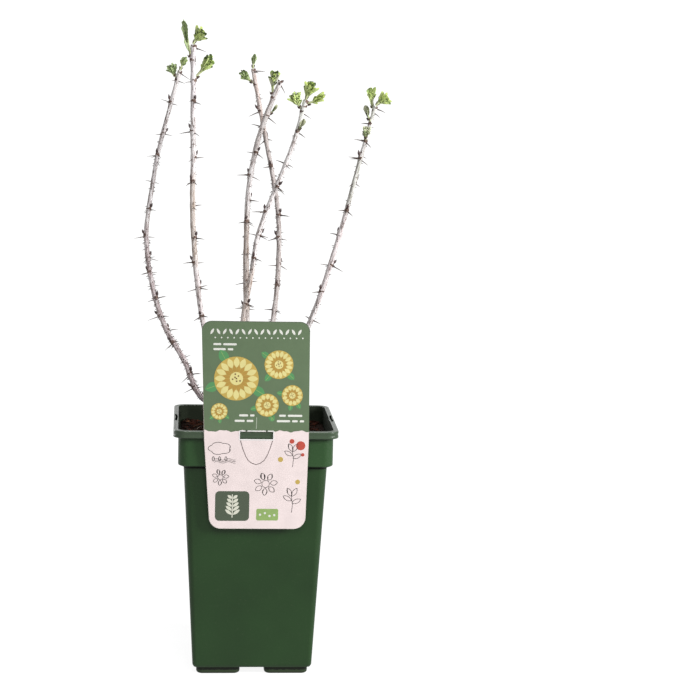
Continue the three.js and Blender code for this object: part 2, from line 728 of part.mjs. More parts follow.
function makeCard() {
  const back = -(POT.rimHalf + CLEARANCE);
  const front = back - CARD.thickness;
  const beyond = 3;
  const drop = CARD.bend - CARD.foot + beyond;
  const set = drop * Math.tan(radians(CARD.backLean));
  const bentSheet = extrudeAcross([
    [front, CARD.top + beyond], [front, CARD.bend], [front + set, CARD.bend - drop],
    [back + set, CARD.bend - drop], [back, CARD.bend], [back, CARD.top + beyond],
  ], CARD.topWidth + 20);

  const deep = 30;
  const outline = new THREE.ExtrudeGeometry(cardOutline(), {
    depth: deep, bevelEnabled: false, curveSegments: CARD.cornerSteps,
  });
  outline.rotateX(Math.PI / 2);
  outline.translate(0, back + deep * 0.75, 0);

  const over = POT.height + CLEARANCE;
  const inside = -(POT.bandHalf - POT.wall - CLEARANCE);
  const hook = extrudeAcross([
    [front + CARD.thickness / 2, over], [inside, over], [inside, POT.height - CARD.hookDrop],
    [inside + CARD.thickness, POT.height - CARD.hookDrop], [inside + CARD.thickness, over + CARD.thickness],
    [front + CARD.thickness / 2, over + CARD.thickness],
  ], CARD.hookWidth);
  return toManifold(outline).intersect(bentSheet).add(hook);
}

// ------------------------------------------------------------------ the object

const MATERIALS = {
  pot: new THREE.MeshStandardMaterial({ color: 0x36503a, roughness: 0.42, metalness: 0 }),
  soil: new THREE.MeshStandardMaterial({ color: 0x3a2218, roughness: 0.98, metalness: 0 }),
  stump: new THREE.MeshStandardMaterial({ color: 0x6d5746, roughness: 0.9, metalness: 0 }),
  cane: new THREE.MeshStandardMaterial({ color: 0xa7937c, roughness: 0.8, metalness: 0 }),
  leaf: new THREE.MeshStandardMaterial({ color: 0x6f9a32, roughness: 0.6, metalness: 0 }),
  card: new THREE.MeshStandardMaterial({ color: 0xe9d9d8, roughness: 0.5, metalness: 0 }),
};

const group = new THREE.Group();

function addPiece(name, solid, material) {
  const mesh = new THREE.Mesh(toGeometry(solid), material);
  mesh.name = name;
  group.add(mesh);
}

addPiece("pot", makePot(), MATERIALS.pot);
addPiece("soil", makeSoil(), MATERIALS.soil);
addPiece("picture_card", makeCard(), MATERIALS.card);
addPiece("stump", makeStump(), MATERIALS.stump);

const stumpSpace = makeStump(CLEARANCE);
for (const cane of canes) {
  addPiece(`stem_${cane.place}`, makeCane(cane, stumpSpace), MATERIALS.cane);
}
tufts.forEach((tuft, index) => {
  addPiece(`leaves_${tuft.cane.place}_${tuft.name}`, makeTuft(tuft, index), MATERIALS.leaf);
});

export default group;
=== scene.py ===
"""A potted gooseberry bush in early spring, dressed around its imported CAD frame.

The canes, thorns, buds and tufts of leaves grow here by the same rule, from the same sizes and
seeds as in the part's source, and are carried to finer twigs, leaves and bark. Shapes are worked
out in millimetres in the part's own frame (+Z up, the card on the -Y side), and become metres when
a piece is made.
"""

from bisect import bisect_right
from math import cos, exp, hypot, pi, radians, sin, sqrt, tan
from types import SimpleNamespace as Sizes

import bmesh
import bpy
from mathutils import Matrix, Vector, noise


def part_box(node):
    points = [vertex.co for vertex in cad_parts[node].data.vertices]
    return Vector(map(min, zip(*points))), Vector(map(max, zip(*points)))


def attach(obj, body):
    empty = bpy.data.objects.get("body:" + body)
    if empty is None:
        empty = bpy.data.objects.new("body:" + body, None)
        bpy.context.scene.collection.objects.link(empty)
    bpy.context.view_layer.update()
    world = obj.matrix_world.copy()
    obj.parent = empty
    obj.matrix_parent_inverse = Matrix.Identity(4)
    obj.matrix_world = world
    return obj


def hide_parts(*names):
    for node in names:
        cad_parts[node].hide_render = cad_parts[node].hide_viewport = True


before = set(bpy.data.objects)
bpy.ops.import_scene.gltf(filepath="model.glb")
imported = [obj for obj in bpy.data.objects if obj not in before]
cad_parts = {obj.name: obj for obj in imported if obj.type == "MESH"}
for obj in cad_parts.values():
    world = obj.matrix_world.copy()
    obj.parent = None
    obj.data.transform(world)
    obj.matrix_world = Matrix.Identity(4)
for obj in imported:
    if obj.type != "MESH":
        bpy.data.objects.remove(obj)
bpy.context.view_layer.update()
BODY = "root"
MM = 0.001
RIGHT, AWAY, UP = Vector((1, 0, 0)), Vector((0, 1, 0)), Vector((0, 0, 1))
TURN = 2 * pi


def mix(start, end, share):
    return start + (end - start) * share


# ---------------- the frame's sizes

def node_box(node):
    """The lowest and highest corner of a CAD node, in millimetres."""
    low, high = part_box(node)
    return low / MM, high / MM


CLEARANCE = 0.3                          # between CAD pieces that touch
POT_HEIGHT = node_box("pot")[1].z
RIM_HALF = node_box("pot")[1].x          # half the width across the rim
RIM_DEPTH = 6.8
LIP_FOOT = POT_HEIGHT - RIM_DEPTH
BAND_HALF = RIM_HALF - 4.5               # half the width across the collar below the rim
BAND_FOOT = POT_HEIGHT - 33.2
BODY_TOP_HALF = RIM_HALF - 9.6
BODY_FOOT_HALF = RIM_HALF - 19.8
COLLAR_SLOPE = 2.2
WALL = 1.6
FOOT_HEIGHT = 7.1
POT_FLOOR = FOOT_HEIGHT + 1.8
INNER_BAND_HALF = BAND_HALF - WALL
INNER_TOP = BAND_FOOT - 2                # where the inside widens into the collar
POT_CORNER = 11                          # corner radius at the rim
CORNER_SHRINK = 0.35                     # how much of a narrower width its corner loses

LIP_WEB = 1.7                            # thickness of the folded lip's top
LIP_SKIRT = 1.3                          # thickness of its outer skirt
LIP_STEP = 0.25                          # how far the skirt's middle is set in
LIP_SHADE_LINE = 1.2                          # height of the painted shade line below the lip
LIP_TOP = Sizes(round=1.6, groove_out=1.9, groove_in=3.3, groove_deep=0.45, inner=4.3,
                flare_depth=4.2, flare_end=5.8)  # measured in from the rim, and down from its top
LIP_RIB = Sizes(places=(-64, -30, 4, 24, 52), thickness=1.2, short_of_foot=0.8)
# The feet's two heights of wear also bound their painted shade, at the sole and in a band below the body.
FOOT = Sizes(size=40.4, outer_half=51.6, corner=6, round=2.6, worn_below=4.4, top=6.1, worn_above=5.9,
             hollow=((6, 0.8), (5, 0.2), (4.2, 0)))  # how far in from its side, and how high
DRAIN = Sizes(radius=4.5, offset=31, sides=24, heights=(5, 11))
GRIP_SLOT = Sizes(x=73, width=2.1, length=33, chevron=0.8, deep=5.2)
SOIL_TOP = POT_HEIGHT - 14


# ---------------- the bush's rule, as in the source, with what only its dress needs

CANE_KEYS = ("place", "diameters", "first_node", "first_turn", "seed", "bristly", "through",
             "stout",                    # how much thicker its bark makes its radius, foot to tip
             "bristles",                 # for each millimetre of its length
             "tints",                    # between two heights: a shade, and how much of it
             "tufts")
TUFT_KEYS = ("name", "up", "turn", "lean", "shoot", "leaves", "blade", "fan", "top", "under")
CANES = [
    ("outer_left", (4.9, 2.9), 46, 40, 11, True,
     [(-9, 1, 232), (-22, 7, 238), (-50, 20, 249), (-66, 30, 282), (-84, 37, 312), (-97, 44, 352),
      (-103, 49, 400), (-97, 51, 450), (-91, 49, 484), (-73, 46, 554)],
     (0.15, 0.45), 1.9, [(225, 395, (190, 164, 168), 0.6), (430, 490, (186, 178, 184), 0.3)],
     [("side", 547, 180, 26, 5, 4, 9.5, 50, "grey", "grey_under"),
      ("tip", None, 0, 8, 5, 3, 10, 26, "grey", "pale_under")]),
    ("inner_left", (4.5, 3), 34, 190, 12, False,
     [(-9, -2, 234), (-27, -11, 263), (-49, -22, 325), (-59, -33, 410), (-60, -38, 484), (-61, -37, 577)],
     (0.2, 0.85), 0.22, [(388, 450, (180, 154, 124), 0.6), (225, 368, (214, 188, 190), 0.35),
                         (528, 572, (252, 244, 248), 0.8)],
     [("top", 565, 190, 10, 24, 6, 11.5, 22, "grey", "grey_under"),
      ("tip", None, 0, 30, 6, 4, 12.5, 50, "bright", "pale_under"),
      ("side", 547, 0, 34, 16, 4, 12.5, 42, "fresh", "pale_under")]),
    ("middle", (4.4, 2.8), 30, 100, 13, False,
     [(-6.5, 3.5, 240), (-7, 12, 292), (-9, 18, 370), (-8, 19, 440), (-1, 15, 486), (8, 12, 516),
      (20, 10, 546)],
     (0.75, 0.85), 0.75, [(330, 412, (152, 122, 94), 0.7), (480, 530, (176, 158, 148), 0.5)],
     [("top", 532, 180, 14, 13, 5, 13, 38, "fresh", "pale"),
      ("side", 516, 20, 18, 3.5, 2, 9.5, 14, "pale", "grey_under")]),
    ("back", (4.4, 3), 32, 10, 14, False,
     [(-3.5, 2.5, 239), (9, 13, 282), (18, 23, 326), (22, 30, 380), (20, 35, 430), (7, 35, 497),
      (-5, 34, 557)],
     (0.4, 0.4), 0.5, [(500, 560, (192, 156, 138), 0.6), (330, 490, (150, 132, 124), 0.7)],
     [("side", 544, 180, 30, 7, 3, 10.5, 38, "deep", "grey_under"),
      ("tip", None, 0, 16, 4.5, 3, 10.5, 14, "grey", "pale")]),
    ("front", (4.4, 2.9), 36, 250, 15, False,
     [(-7.5, -3.5, 240), (-13, -11, 285), (-12, -16, 327), (-5, -19, 370), (2, -23, 412), (29, -29, 485),
      (41, -33, 530)],
     (0.3, 0.5), 0.35, [(325, 366, (178, 140, 102), 0.5), (508, 532, (246, 248, 240), 0.8)],
     [("left", 521, 180, 32, 7, 4, 12, 40, "fresh", "pale_under"),
      ("tip", None, 0, 6, 7, 5, 12.5, 36, "bright", "pale_under"),
      ("right", 526, 0, 44, 10, 4, 11, 28, "bright", "pale_under"),
      ("low", 503, 290, 20, 4, 2, 10.5, 14, "pale", "pale")]),
    ("right", (4.6, 3.1), 33, 330, 16, False,
     [(-2.5, -2.5, 237), (22, -15, 271), (49, -31, 327), (72, -42, 403), (91, -48, 480), (103, -50, 526)],
     (0.55, 0.2), 0.5, [(440, 475, (150, 164, 138), 0.5), (350, 425, (206, 174, 178), 0.35),
                        (502, 526, (236, 240, 230), 0.8)],
     [("upper", 523, 140, 22, 11, 4, 11.5, 30, "fresh", "pale_under"),
      ("outer", None, 0, 34, 5, 4, 11.5, 44, "bright", "pale_under"),
      ("middle", 512, 215, 30, 6, 2, 10.5, 12, "pale", "grey_under"),
      ("low", 496, 250, 16, 4, 3, 10.5, 34, "pale", "grey_under")]),
]
# A pair is what the dice's between or around takes: the least and the most, or a middle and its jitter.
NODE = Sizes(gap=(20, 30), bristly_gap=0.6, turn=(144, 14), keep_from_tuft=9)
BUD = Sizes(length=4.6, radius=1.15, lean=28, root_at=0.7,
            fullness=1.1, stands_off=0.5, longer=(1.2, 0.15),  # against the source's plain bud
            widths=(0.35, 0.8, 1, 0.97, 0.82, 0.58, 0.3, 0.04), scale_length=0.55, scale_radius=0.95)
THORN = Sizes(length=8.4, side_length=6.4, length_jitter=1.3, radius=0.62, root_at=0.3, side_turn=58,
              side_chance=0.6, droop=(8, 12), below=2.4, tuft_half_width=0.3, tuft_clearance=1,
              reach=1.24,                # against the source's thorn
              bow=(0.1, 0.5), bow_seed=300, bristly_slim=0.72,
              widths=(1.7, 1.15, 0.88, 0.74, 0.58, 0.38, 0.1))
SHOOT = Sizes(foot_radius=1.2, tip_radius=0.6, lowest_leaf=0.45, highest_leaf=0.95, seed=70, sag=0.2,
              scale_turn=30, scale_lean=12, scale_radius=1.35, lowest_scale=0.1, scale_gap=0.3,
              longest_scale=3.4, scale_shrink=0.3)
LEAF = Sizes(shoulder=(0.66, 0.42, 0.06), notch=(0.76, 0.2, -0.05), fold=(38, 16), shrink=0.18,
             length_jitter=0.08, upright=0.75, spread_jitter=5, turn=137.5, turn_jitter=15,
             own_space_margin=0.5)


class Dice:
    """The source's small generator of chance, so that the bush grows here as it does there."""

    def __init__(self, seed):
        self.state = (seed + 1) * 2654435761 % 2**32

    def next(self):
        self.state = (self.state * 1664525 + 1013904223) % 2**32
        return self.state / 2**32

    def between(self, low, high):
        return low + (high - low) * self.next()

    def around(self, middle, jitter):
        return self.between(middle - jitter, middle + jitter)


def across_limb(direction):
    """The two directions across a limb: to the right and away, for a limb that points up."""
    across = AWAY.cross(direction).normalized()
    return across, direction.cross(across).normalized()


def outward_from(direction, degrees):
    across, behind = across_limb(direction)
    return across * cos(radians(degrees)) + behind * sin(radians(degrees))


def turned(direction, side, degrees):
    """A direction leant over to one side."""
    return direction * cos(radians(degrees)) + side * sin(radians(degrees))


def catmull_rom(points, steps):
    """A uniform Catmull-Rom curve through the points, as closely set points on it."""
    points = [Vector(p) for p in points]
    ends = [2 * points[0] - points[1], *points, 2 * points[-1] - points[-2]]
    line = []
    for before, start, end, after in zip(ends, ends[1:], ends[2:], ends[3:]):
        leave = (end - before) / 2
        arrive = (after - start) / 2
        for t in (k / steps for k in range(steps)):
            line.append(start + leave * t + (3 * (end - start) - 2 * leave - arrive) * t**2
                        + (2 * (start - end) + leave + arrive) * t**3)
    return line + [points[-1]]


class Cane:
    """A cane's middle line, measured along its length."""

    fine_steps, coarse_steps = 60, 24

    def __init__(self, row):
        vars(self).update(zip(CANE_KEYS, row))
        self.curve = catmull_rom(self.through, self.fine_steps)
        self.marks = [0]
        for start, end in zip(self.curve, self.curve[1:]):
            self.marks.append(self.marks[-1] + (end - start).length)
        self.length = self.marks[-1]
        self.coarse = [self.point(self.length * i / self.coarse_steps) for i in range(self.coarse_steps + 1)]

    def point(self, distance):
        distance = min(max(distance, 0), self.length)
        low = min(bisect_right(self.marks, distance), len(self.marks) - 1) - 1
        part = (distance - self.marks[low]) / (self.marks[low + 1] - self.marks[low])
        return self.curve[low].lerp(self.curve[low + 1], part)

    def at(self, distance):
        """The point, direction and radius at a distance along the cane."""
        step = 0.5
        direction = (self.point(distance + step) - self.point(distance - step)).normalized()
        return self.point(distance), direction, mix(*self.diameters, distance / self.length) / 2

    def distance_at_height(self, height):
        low, high = 0, self.length
        while high - low > 0.01:
            middle = (low + high) / 2
            low, high = (middle, high) if self.point(middle).z < height else (low, middle)
        return low


def distance_to_segment(point, start, end):
    along = end - start
    part = min(max((point - start).dot(along) / along.length_squared, 0), 1)
    return (point - start - along * part).length


def place_tuft(cane, row):
    """A tuft, with where its shoot starts and which way it grows."""
    tuft = Sizes(cane=cane, **dict(zip(TUFT_KEYS, row)))
    tuft.distance = cane.distance_at_height(tuft.up) if tuft.up else cane.length
    tuft.root, direction, radius = cane.at(tuft.distance)
    outward = outward_from(direction, tuft.turn)
    tuft.axis = turned(direction, outward, tuft.lean)
    lean = radians(tuft.lean)
    if tuft.up:
        tuft.foot = tuft.root + outward * (radius + CLEARANCE + SHOOT.foot_radius * cos(lean))
    else:
        tuft.foot = tuft.root + direction * (CLEARANCE + SHOOT.foot_radius * sin(lean))
    tuft.tip = tuft.foot + tuft.axis * (tuft.shoot + tuft.blade)
    return tuft


canes = [Cane(row) for row in CANES]
for cane in canes:
    cane.tufts = [place_tuft(cane, row) for row in cane.tufts]
tufts = [tuft for cane in canes for tuft in cane.tufts]


def nodes_of(cane):
    """The buds' places on a cane: evenly turned nodes up to its lowest tuft, then one under each."""
    dice = Dice(cane.seed)
    lowest = min(tuft.distance for tuft in cane.tufts)
    nodes = []
    distance, turn = cane.first_node, cane.first_turn
    while distance < lowest - NODE.keep_from_tuft:
        nodes.append(Sizes(distance=distance, turn=turn, bud=True))
        bristly = cane.bristly and distance < cane.length / 2
        gap = dice.between(*NODE.gap)
        distance += gap * (NODE.bristly_gap if bristly else 1)
        turn += dice.around(*NODE.turn)
    return nodes + [Sizes(distance=tuft.distance, turn=tuft.turn, bud=False) for tuft in cane.tufts]


for cane in canes:
    cane.nodes = nodes_of(cane)


def clear_of_tufts(start, end):
    return all(
        distance_to_segment(start.lerp(end, part), tuft.foot, tuft.tip)
        > tuft.blade * THORN.tuft_half_width + THORN.tuft_clearance
        for tuft in tufts for part in (0.4, 0.7, 1)
    )


def spike(spot, turn, droop, root_at, length):
    """The root and tip of a spike on a cane, its root at a share of the way out to the bark."""
    point, direction, radius = spot
    way = turned(outward_from(direction, turn), -direction, droop)
    return point + way * radius * root_at, point + way * (radius + length)


def thorns_of(cane):
    """Each thorn's root and tip, by the source's draws."""
    dice = Dice(cane.seed + 100)
    for node in cane.nodes:
        sides = [side for side in (-1, 1) if dice.next() < THORN.side_chance]
        wanted = [(0, THORN.length)] + [(side * THORN.side_turn, THORN.side_length) for side in sides]
        spot = cane.at(max(0, node.distance - THORN.below))
        for turn, usual in wanted:
            length, droop = dice.around(usual, THORN.length_jitter), dice.around(*THORN.droop)
            root, tip = spike(spot, node.turn + turn, droop, THORN.root_at, length)
            if clear_of_tufts(root, tip):
                yield root, tip


# ---------------- meshes

class Shape:
    """Points and faces in millimetres, each face with the number of its finish."""

    def __init__(self):
        self.points, self.faces, self.finishes = [], [], []

    def add(self, made, finish=0):
        points, faces = made
        start = len(self.points)
        self.points += points
        self.faces += [[start + i for i in face] for face in faces]
        self.finishes += finish if isinstance(finish, list) else [finish] * len(faces)
        return self


def add_object(name, data):
    """Puts a mesh, a light or the camera into the scene."""
    made = bpy.data.objects.new(name, data)
    bpy.context.scene.collection.objects.link(made)
    return made


def add_solid(name, made):
    """Makes an object, in metres, of points and faces in millimetres."""
    points, faces = made
    mesh = bpy.data.meshes.new(name)
    mesh.from_pydata([tuple(p) for p in points], [], faces)
    mesh.transform(Matrix.Scale(MM, 4))
    return add_object(name, mesh)


def dress(piece, finishes, replaces=(), sharp=60):
    """Gives a piece its finishes and its body, and hides the CAD nodes that it stands for.

    Edges that turn by more than sharp degrees stay crisp.
    """
    for finish in finishes:
        piece.data.materials.append(finish)
    piece.data.shade_smooth()
    piece.data.set_sharp_from_angle(angle=radians(sharp))
    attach(piece, BODY)
    if replaces:
        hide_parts(*replaces)


def add_piece(name, shape, finishes, replaces=(), sharp=60):
    piece = add_solid(name, (shape.points, shape.faces))
    dress(piece, finishes, replaces, sharp)
    piece.data.polygons.foreach_set("material_index", shape.finishes)


def loft(rings):
    """Skins a row of closed rings with equally many points, and closes both ends with a fan."""
    count = len(rings[0])
    points = [p for ring in rings for p in ring]
    first = len(points)
    points += [sum(rings[0], Vector()) / count, sum(rings[-1], Vector()) / count]
    last = (len(rings) - 1) * count
    faces = []
    for i in range(count):
        after = (i + 1) % count
        faces.append((first, after, i))
        for row in range(0, last, count):
            faces.append((row + i, row + after, row + count + after, row + count + i))
        faces.append((first + 1, last + i, last + after))
    return points, faces


def circle(centre, direction, radius, sides):
    across, behind = across_limb(direction)
    angles = [TURN * i / sides for i in range(sides)]
    return [centre + across * radius * cos(a) + behind * radius * sin(a) for a in angles]


def tube(line, radius, widths, sides):
    """A tube along a line of points, with its width at each point as a share of its radius."""
    ends = [line[0], *line, line[-1]]
    return loft([circle(centre, (after - before).normalized(), radius * width, sides)
                 for before, centre, after, width in zip(ends, line, ends[2:], widths)])


def prism(outline, heights):
    """An upright block over an anticlockwise outline of (x, y) points."""
    return loft([[Vector((x, y, z)) for x, y in outline] for z in heights])


def block(across, along, heights):
    """An upright block between two x, two y and two heights."""
    (left, right), (near, far) = sorted(across), sorted(along)
    return prism([(left, near), (right, near), (right, far), (left, far)], heights)


def sheet(front, back):
    """A closed thin sheet between two grids of points."""
    columns = len(front[0])
    other = len(front) * columns
    faces = []
    for row in range(0, other - columns, columns):
        for a in range(row, row + columns - 1):
            b = a + columns
            faces += [(a, a + 1, b + 1, b), (other + a, other + b, other + b + 1, other + a + 1)]
    rim = [*range(columns), *range(2 * columns - 1, other, columns),
           *range(other - 2, other - columns - 1, -1), *range(other - 2 * columns, 0, -columns)]
    faces += [(b, a, other + a, other + b) for a, b in zip(rim, rim[1:] + rim[:1])]
    return sum(front + back, []), faces


def bent_line(start, end, sag, steps):
    """A line of points from start to end that bends off towards sag on its way."""
    return [start.lerp(end, i / steps) + sag * sin(pi * i / steps) for i in range(steps + 1)]


def polar(radius, angle):
    """A level vector that points angle radians anticlockwise from the right."""
    return Vector((cos(angle), sin(angle), 0)) * radius


def rounded_square(half, corner, corner_steps, side_steps):
    """Points around a square with round corners, anticlockwise, with its sides cut into steps."""
    reach = half - corner
    quarter = [Vector((reach, reach, 0)) + polar(corner, i / corner_steps * pi / 2)
               for i in range(corner_steps + 1)]
    following = Matrix.Rotation(pi / 2, 3, "Z") @ quarter[0]
    quarter += [quarter[-1].lerp(following, i / side_steps) for i in range(1, side_steps)]
    return [Matrix.Rotation(side * pi / 2, 3, "Z") @ point for side in range(4) for point in quarter]


def boolean(piece, solids, operation):
    """Joins or cuts a piece with solids."""
    others = [add_solid("used up", solid) for solid in solids]
    for other in others:
        modifier = piece.modifiers.new("boolean", "BOOLEAN")
        modifier.operation = operation
        modifier.solver = "EXACT"
        modifier.object = other
    graph = bpy.context.evaluated_depsgraph_get()
    mesh = bpy.data.meshes.new_from_object(piece.evaluated_get(graph))
    piece.modifiers.clear()
    piece.data = mesh
    for other in others:
        bpy.data.objects.remove(other)


# ---------------- finishes

LIGHT = Sizes(sun=2.2, sun_width=30, sun_turn=4, sun_height=43, around=0.2, mirrored=0.9, background=1.1,
              floor=0.14, floor_glow=0.9,
              on_front=1.95)             # how brightly all of it lights a face turned to the camera


def linear(value):
    value /= 255
    return value / 12.92 if value <= 0.04045 else ((value + 0.055) / 1.055) ** 2.4


def plain(shade):
    """A finish's own colour, from how it looks in the studio light on a screen, 0 to 255."""
    return shade if len(shade) == 4 else tuple(linear(value) / LIGHT.on_front for value in shade) + (1,)


def grey(level):
    return level, level, level, 1


class Finish:
    """A material built around one Principled shader, patterned in the part's own frame."""

    def __init__(self, name, shade, roughness, specular=0.5):
        self.material = bpy.data.materials.new(name)
        self.material.use_nodes = True
        self.material.diffuse_color = plain(shade)
        self.tree = self.material.node_tree
        self.shader = self.tree.nodes["Principled BSDF"]
        self.feed(self.shader, {"Base Color": plain(shade), "Roughness": roughness,
                                "Specular IOR Level": specular})
        self.place = self.node("TexCoord", {}, "Object")

    def feed(self, node, inputs):
        """Gives a node's inputs plain values or other nodes' outputs."""
        for name, value in inputs.items():
            if isinstance(value, bpy.types.NodeSocket):
                self.tree.links.new(value, node.inputs[name])
            else:
                node.inputs[name].default_value = value

    def node(self, kind, inputs, output, **settings):
        made = self.tree.nodes.new(f"ShaderNode{kind}")
        for name, value in settings.items():
            setattr(made, name, value)
        self.feed(made, inputs)
        return made.outputs[output]

    def noise(self, grain, detail=3, stretch=(1, 1, 1), rough=0.55):
        """A cloudy pattern whose clouds are about grain millimetres across."""
        place = self.node("Mapping", {"Vector": self.place, "Scale": stretch}, "Vector")
        return self.node("TexNoise", {"Vector": place, "Scale": 1 / (grain * MM), "Detail": detail,
                                      "Roughness": rough}, "Fac")

    def ramp(self, value, *stops):
        color = self.node("ValToRGB", {"Fac": value}, "Color")
        elements = color.node.color_ramp.elements
        for _ in stops[2:]:
            elements.new(0.5)
        for element, (position, shade) in zip(elements, stops):
            element.position = position
            element.color = plain(shade)
        return color

    def cloudy(self, pattern, shade, *stops):
        """A shade made darker or lighter by a pattern."""
        base = plain(shade)[:3]
        return self.ramp(pattern, *((at, (*(value * share for value in base), 1)) for at, share in stops))

    def blend(self, share, first, second, kind="MIX"):
        """Mixes two colours or patterns, by a pattern or a share."""
        first, second = (plain(shade) if isinstance(shade, tuple) else shade for shade in (first, second))
        return self.node("Mix", {0: share, 6: first, 7: second}, 2, data_type="RGBA", blend_type=kind)

    def height_of(self, low, high):
        """0 below one height and 1 above another, in millimetres."""
        value = self.node("SeparateXYZ", {"Vector": self.place}, "Z")
        return self.node("MapRange", {"Value": value, "From Min": low * MM, "From Max": high * MM}, "Result")

    def made_of(self, tone, grain, smooth, rough, *bumps):
        """The material with its colour, a roughness that follows a grain, and (pattern, mm) bumps."""
        shader = {"Base Color": tone}
        shader["Roughness"] = self.node("MapRange", {"Value": grain, "From Min": 0.3, "From Max": 0.7,
                                                     "To Min": smooth, "To Max": rough}, "Result")
        below = {}
        for pattern, height in bumps:
            below["Normal"] = self.node("Bump", {**below, "Strength": 1, "Distance": height * MM,
                                                 "Height": pattern}, "Normal")
        self.feed(self.shader, {**shader, **below})
        return self.material


def pot_finish(name, shade, roughness, specular, dust=0.09, speckled=0.012):
    """Moulded plastic, a little cloudy and dusty."""
    finish = Finish(name, shade, roughness, specular)
    cloud, fine, speckle = finish.noise(60, 2), finish.noise(1.6), finish.noise(0.5, 2)
    dusty = finish.ramp(fine, (0.6, grey(0)), (0.8, grey(dust)))
    tone = finish.blend(dusty, finish.cloudy(cloud, shade, (0.3, 0.88), (0.7, 1.12)), (130, 128, 112))
    return finish.made_of(tone, fine, roughness - 0.06, roughness + 0.08, (cloud, 0.35), (speckle, speckled))


def foot_finish(name, worn, dark):
    """Scuffed plastic, with painted shade at its sole and a ragged dark band below the body, painted shade
    with some dirt.
    """
    finish = Finish(name, worn, 0.5, 0.15)
    fine = finish.noise(1.6)
    level = finish.blend(0.3, finish.height_of(0, FOOT_HEIGHT), fine)
    faded = tuple((a + b) / 2 for a, b in zip(plain(worn), plain(dark)))
    tone = finish.ramp(level, (0.18, dark), (0.25, worn), (0.5, worn), (0.55, dark), (0.66, dark),
                       (0.72, faded))
    return finish.made_of(tone, fine, 0.44, 0.6, (fine, 0.1))


def soil_finish(name, dark, light):
    finish = Finish(name, light, 0.95, 0.06)
    clump, grain = finish.noise(5, 4), finish.noise(0.9, 4)
    tone = finish.blend(0.45, finish.ramp(clump, (0.35, dark), (0.68, light)),
                        finish.ramp(grain, (0.3, dark), (0.7, light)))
    return finish.made_of(tone, grain, 0.82, 1, (clump, 0.6), (grain, 0.25))


def bark_finish(name, pale, mid, dark, tints=()):
    """Peeling bark: long pale flakes over darker wood, tinted between some heights."""
    finish = Finish(name, mid, 0.78, 0.3)
    flakes = finish.noise(1.5, 4, (1, 1, 0.14), 0.62)
    streaks = finish.noise(0.5, 3, (1, 1, 0.06))
    patches = finish.noise(14, 3, (1, 1, 0.6))
    none, half, most = grey(0), grey(0.5), grey(0.85)
    tone = finish.ramp(flakes, (0.36, dark), (0.45, mid), (0.58, pale))
    tone = finish.blend(finish.ramp(streaks, (0.38, most), (0.5, none)), tone, dark)
    tone = finish.blend(finish.ramp(patches, (0.42, none), (0.66, half)), tone, mid)
    for low, high, shade, share in tints:
        place = finish.height_of(low - BARK.tint_edge, high + BARK.tint_edge)
        edge = BARK.tint_edge / (high - low + 2 * BARK.tint_edge)
        window = finish.ramp(place, (0, none), (edge, grey(share)), (1 - edge, grey(share)), (1, none))
        worn = finish.ramp(flakes, (0.4, most), (0.62, half))
        tone = finish.blend(finish.blend(1.0, window, worn, "MULTIPLY"), tone, shade)
    return finish.made_of(tone, flakes, 0.66, 0.9, (flakes, 0.16), (streaks, 0.12))


def plain_finish(name, shade, roughness, grain, spread, height):
    """One colour with a fine grain and a little cloudiness in it."""
    finish = Finish(name, shade, roughness)
    cloud, fine = finish.noise(grain * 8, 2), finish.noise(grain)
    tone = finish.cloudy(cloud, shade, (0.3, 1 - spread), (0.7, 1 + spread))
    return finish.made_of(tone, fine, roughness - 0.08, roughness + 0.08, (fine, height))


def leaf_finish(name, shade, roughness):
    finish = Finish(name, shade, roughness, 0.15)
    mottle, fine = finish.noise(2.2), finish.noise(0.35)
    tone = finish.cloudy(mottle, shade, (0.32, 0.86), (0.5, 1), (0.68, 1.12))
    return finish.made_of(tone, fine, 0.48, 0.7, (mottle, 0.12), (fine, 0.04))


# ---------------- pot

def fillet(profile, steps=3):
    """Rounds each corner of a row of (half, height, radius) points."""
    rounded = [Vector(profile[0][:2])]
    for before, (half, z, radius), after in zip(profile, profile[1:], profile[2:]):
        here = Vector((half, z))
        back, ahead = Vector(before[:2]) - here, Vector(after[:2]) - here
        reach = min(radius, back.length / 2, ahead.length / 2)
        start, end = here + back.normalized() * reach, here + ahead.normalized() * reach
        for t in (k / steps for k in range(steps + 1 if radius else 1)):
            rounded.append(start * (1 - t)**2 + here * 2 * t * (1 - t) + end * t**2)
    return rounded + [Vector(profile[-1][:2])]


def pot_inner_half(z):
    """Half the width inside the pot, below its step."""
    return mix(BODY_FOOT_HALF, BODY_TOP_HALF, (z - POT_FLOOR) / (INNER_TOP - POT_FLOOR)) - WALL


def pot_bow(z):
    """Thin sides draw in a little between the floor and the collar."""
    part = (z - FOOT_HEIGHT) / (BAND_FOOT - FOOT_HEIGHT)
    return 0.2 * sin(pi * min(max(part, 0), 1))


def pot_ring(half, z, bow=0):
    """One level of the pot, its sides drawn in by bow at their middles."""
    ring = []
    for x, y, _ in rounded_square(half, POT_CORNER - CORNER_SHRINK * (RIM_HALF - half), 8, 12):
        side = min(abs(x), abs(y)) / half
        drawn = 1 - bow * (1 - side**2) / half
        ring.append(Vector((x * drawn, y * drawn, z)))
    return ring


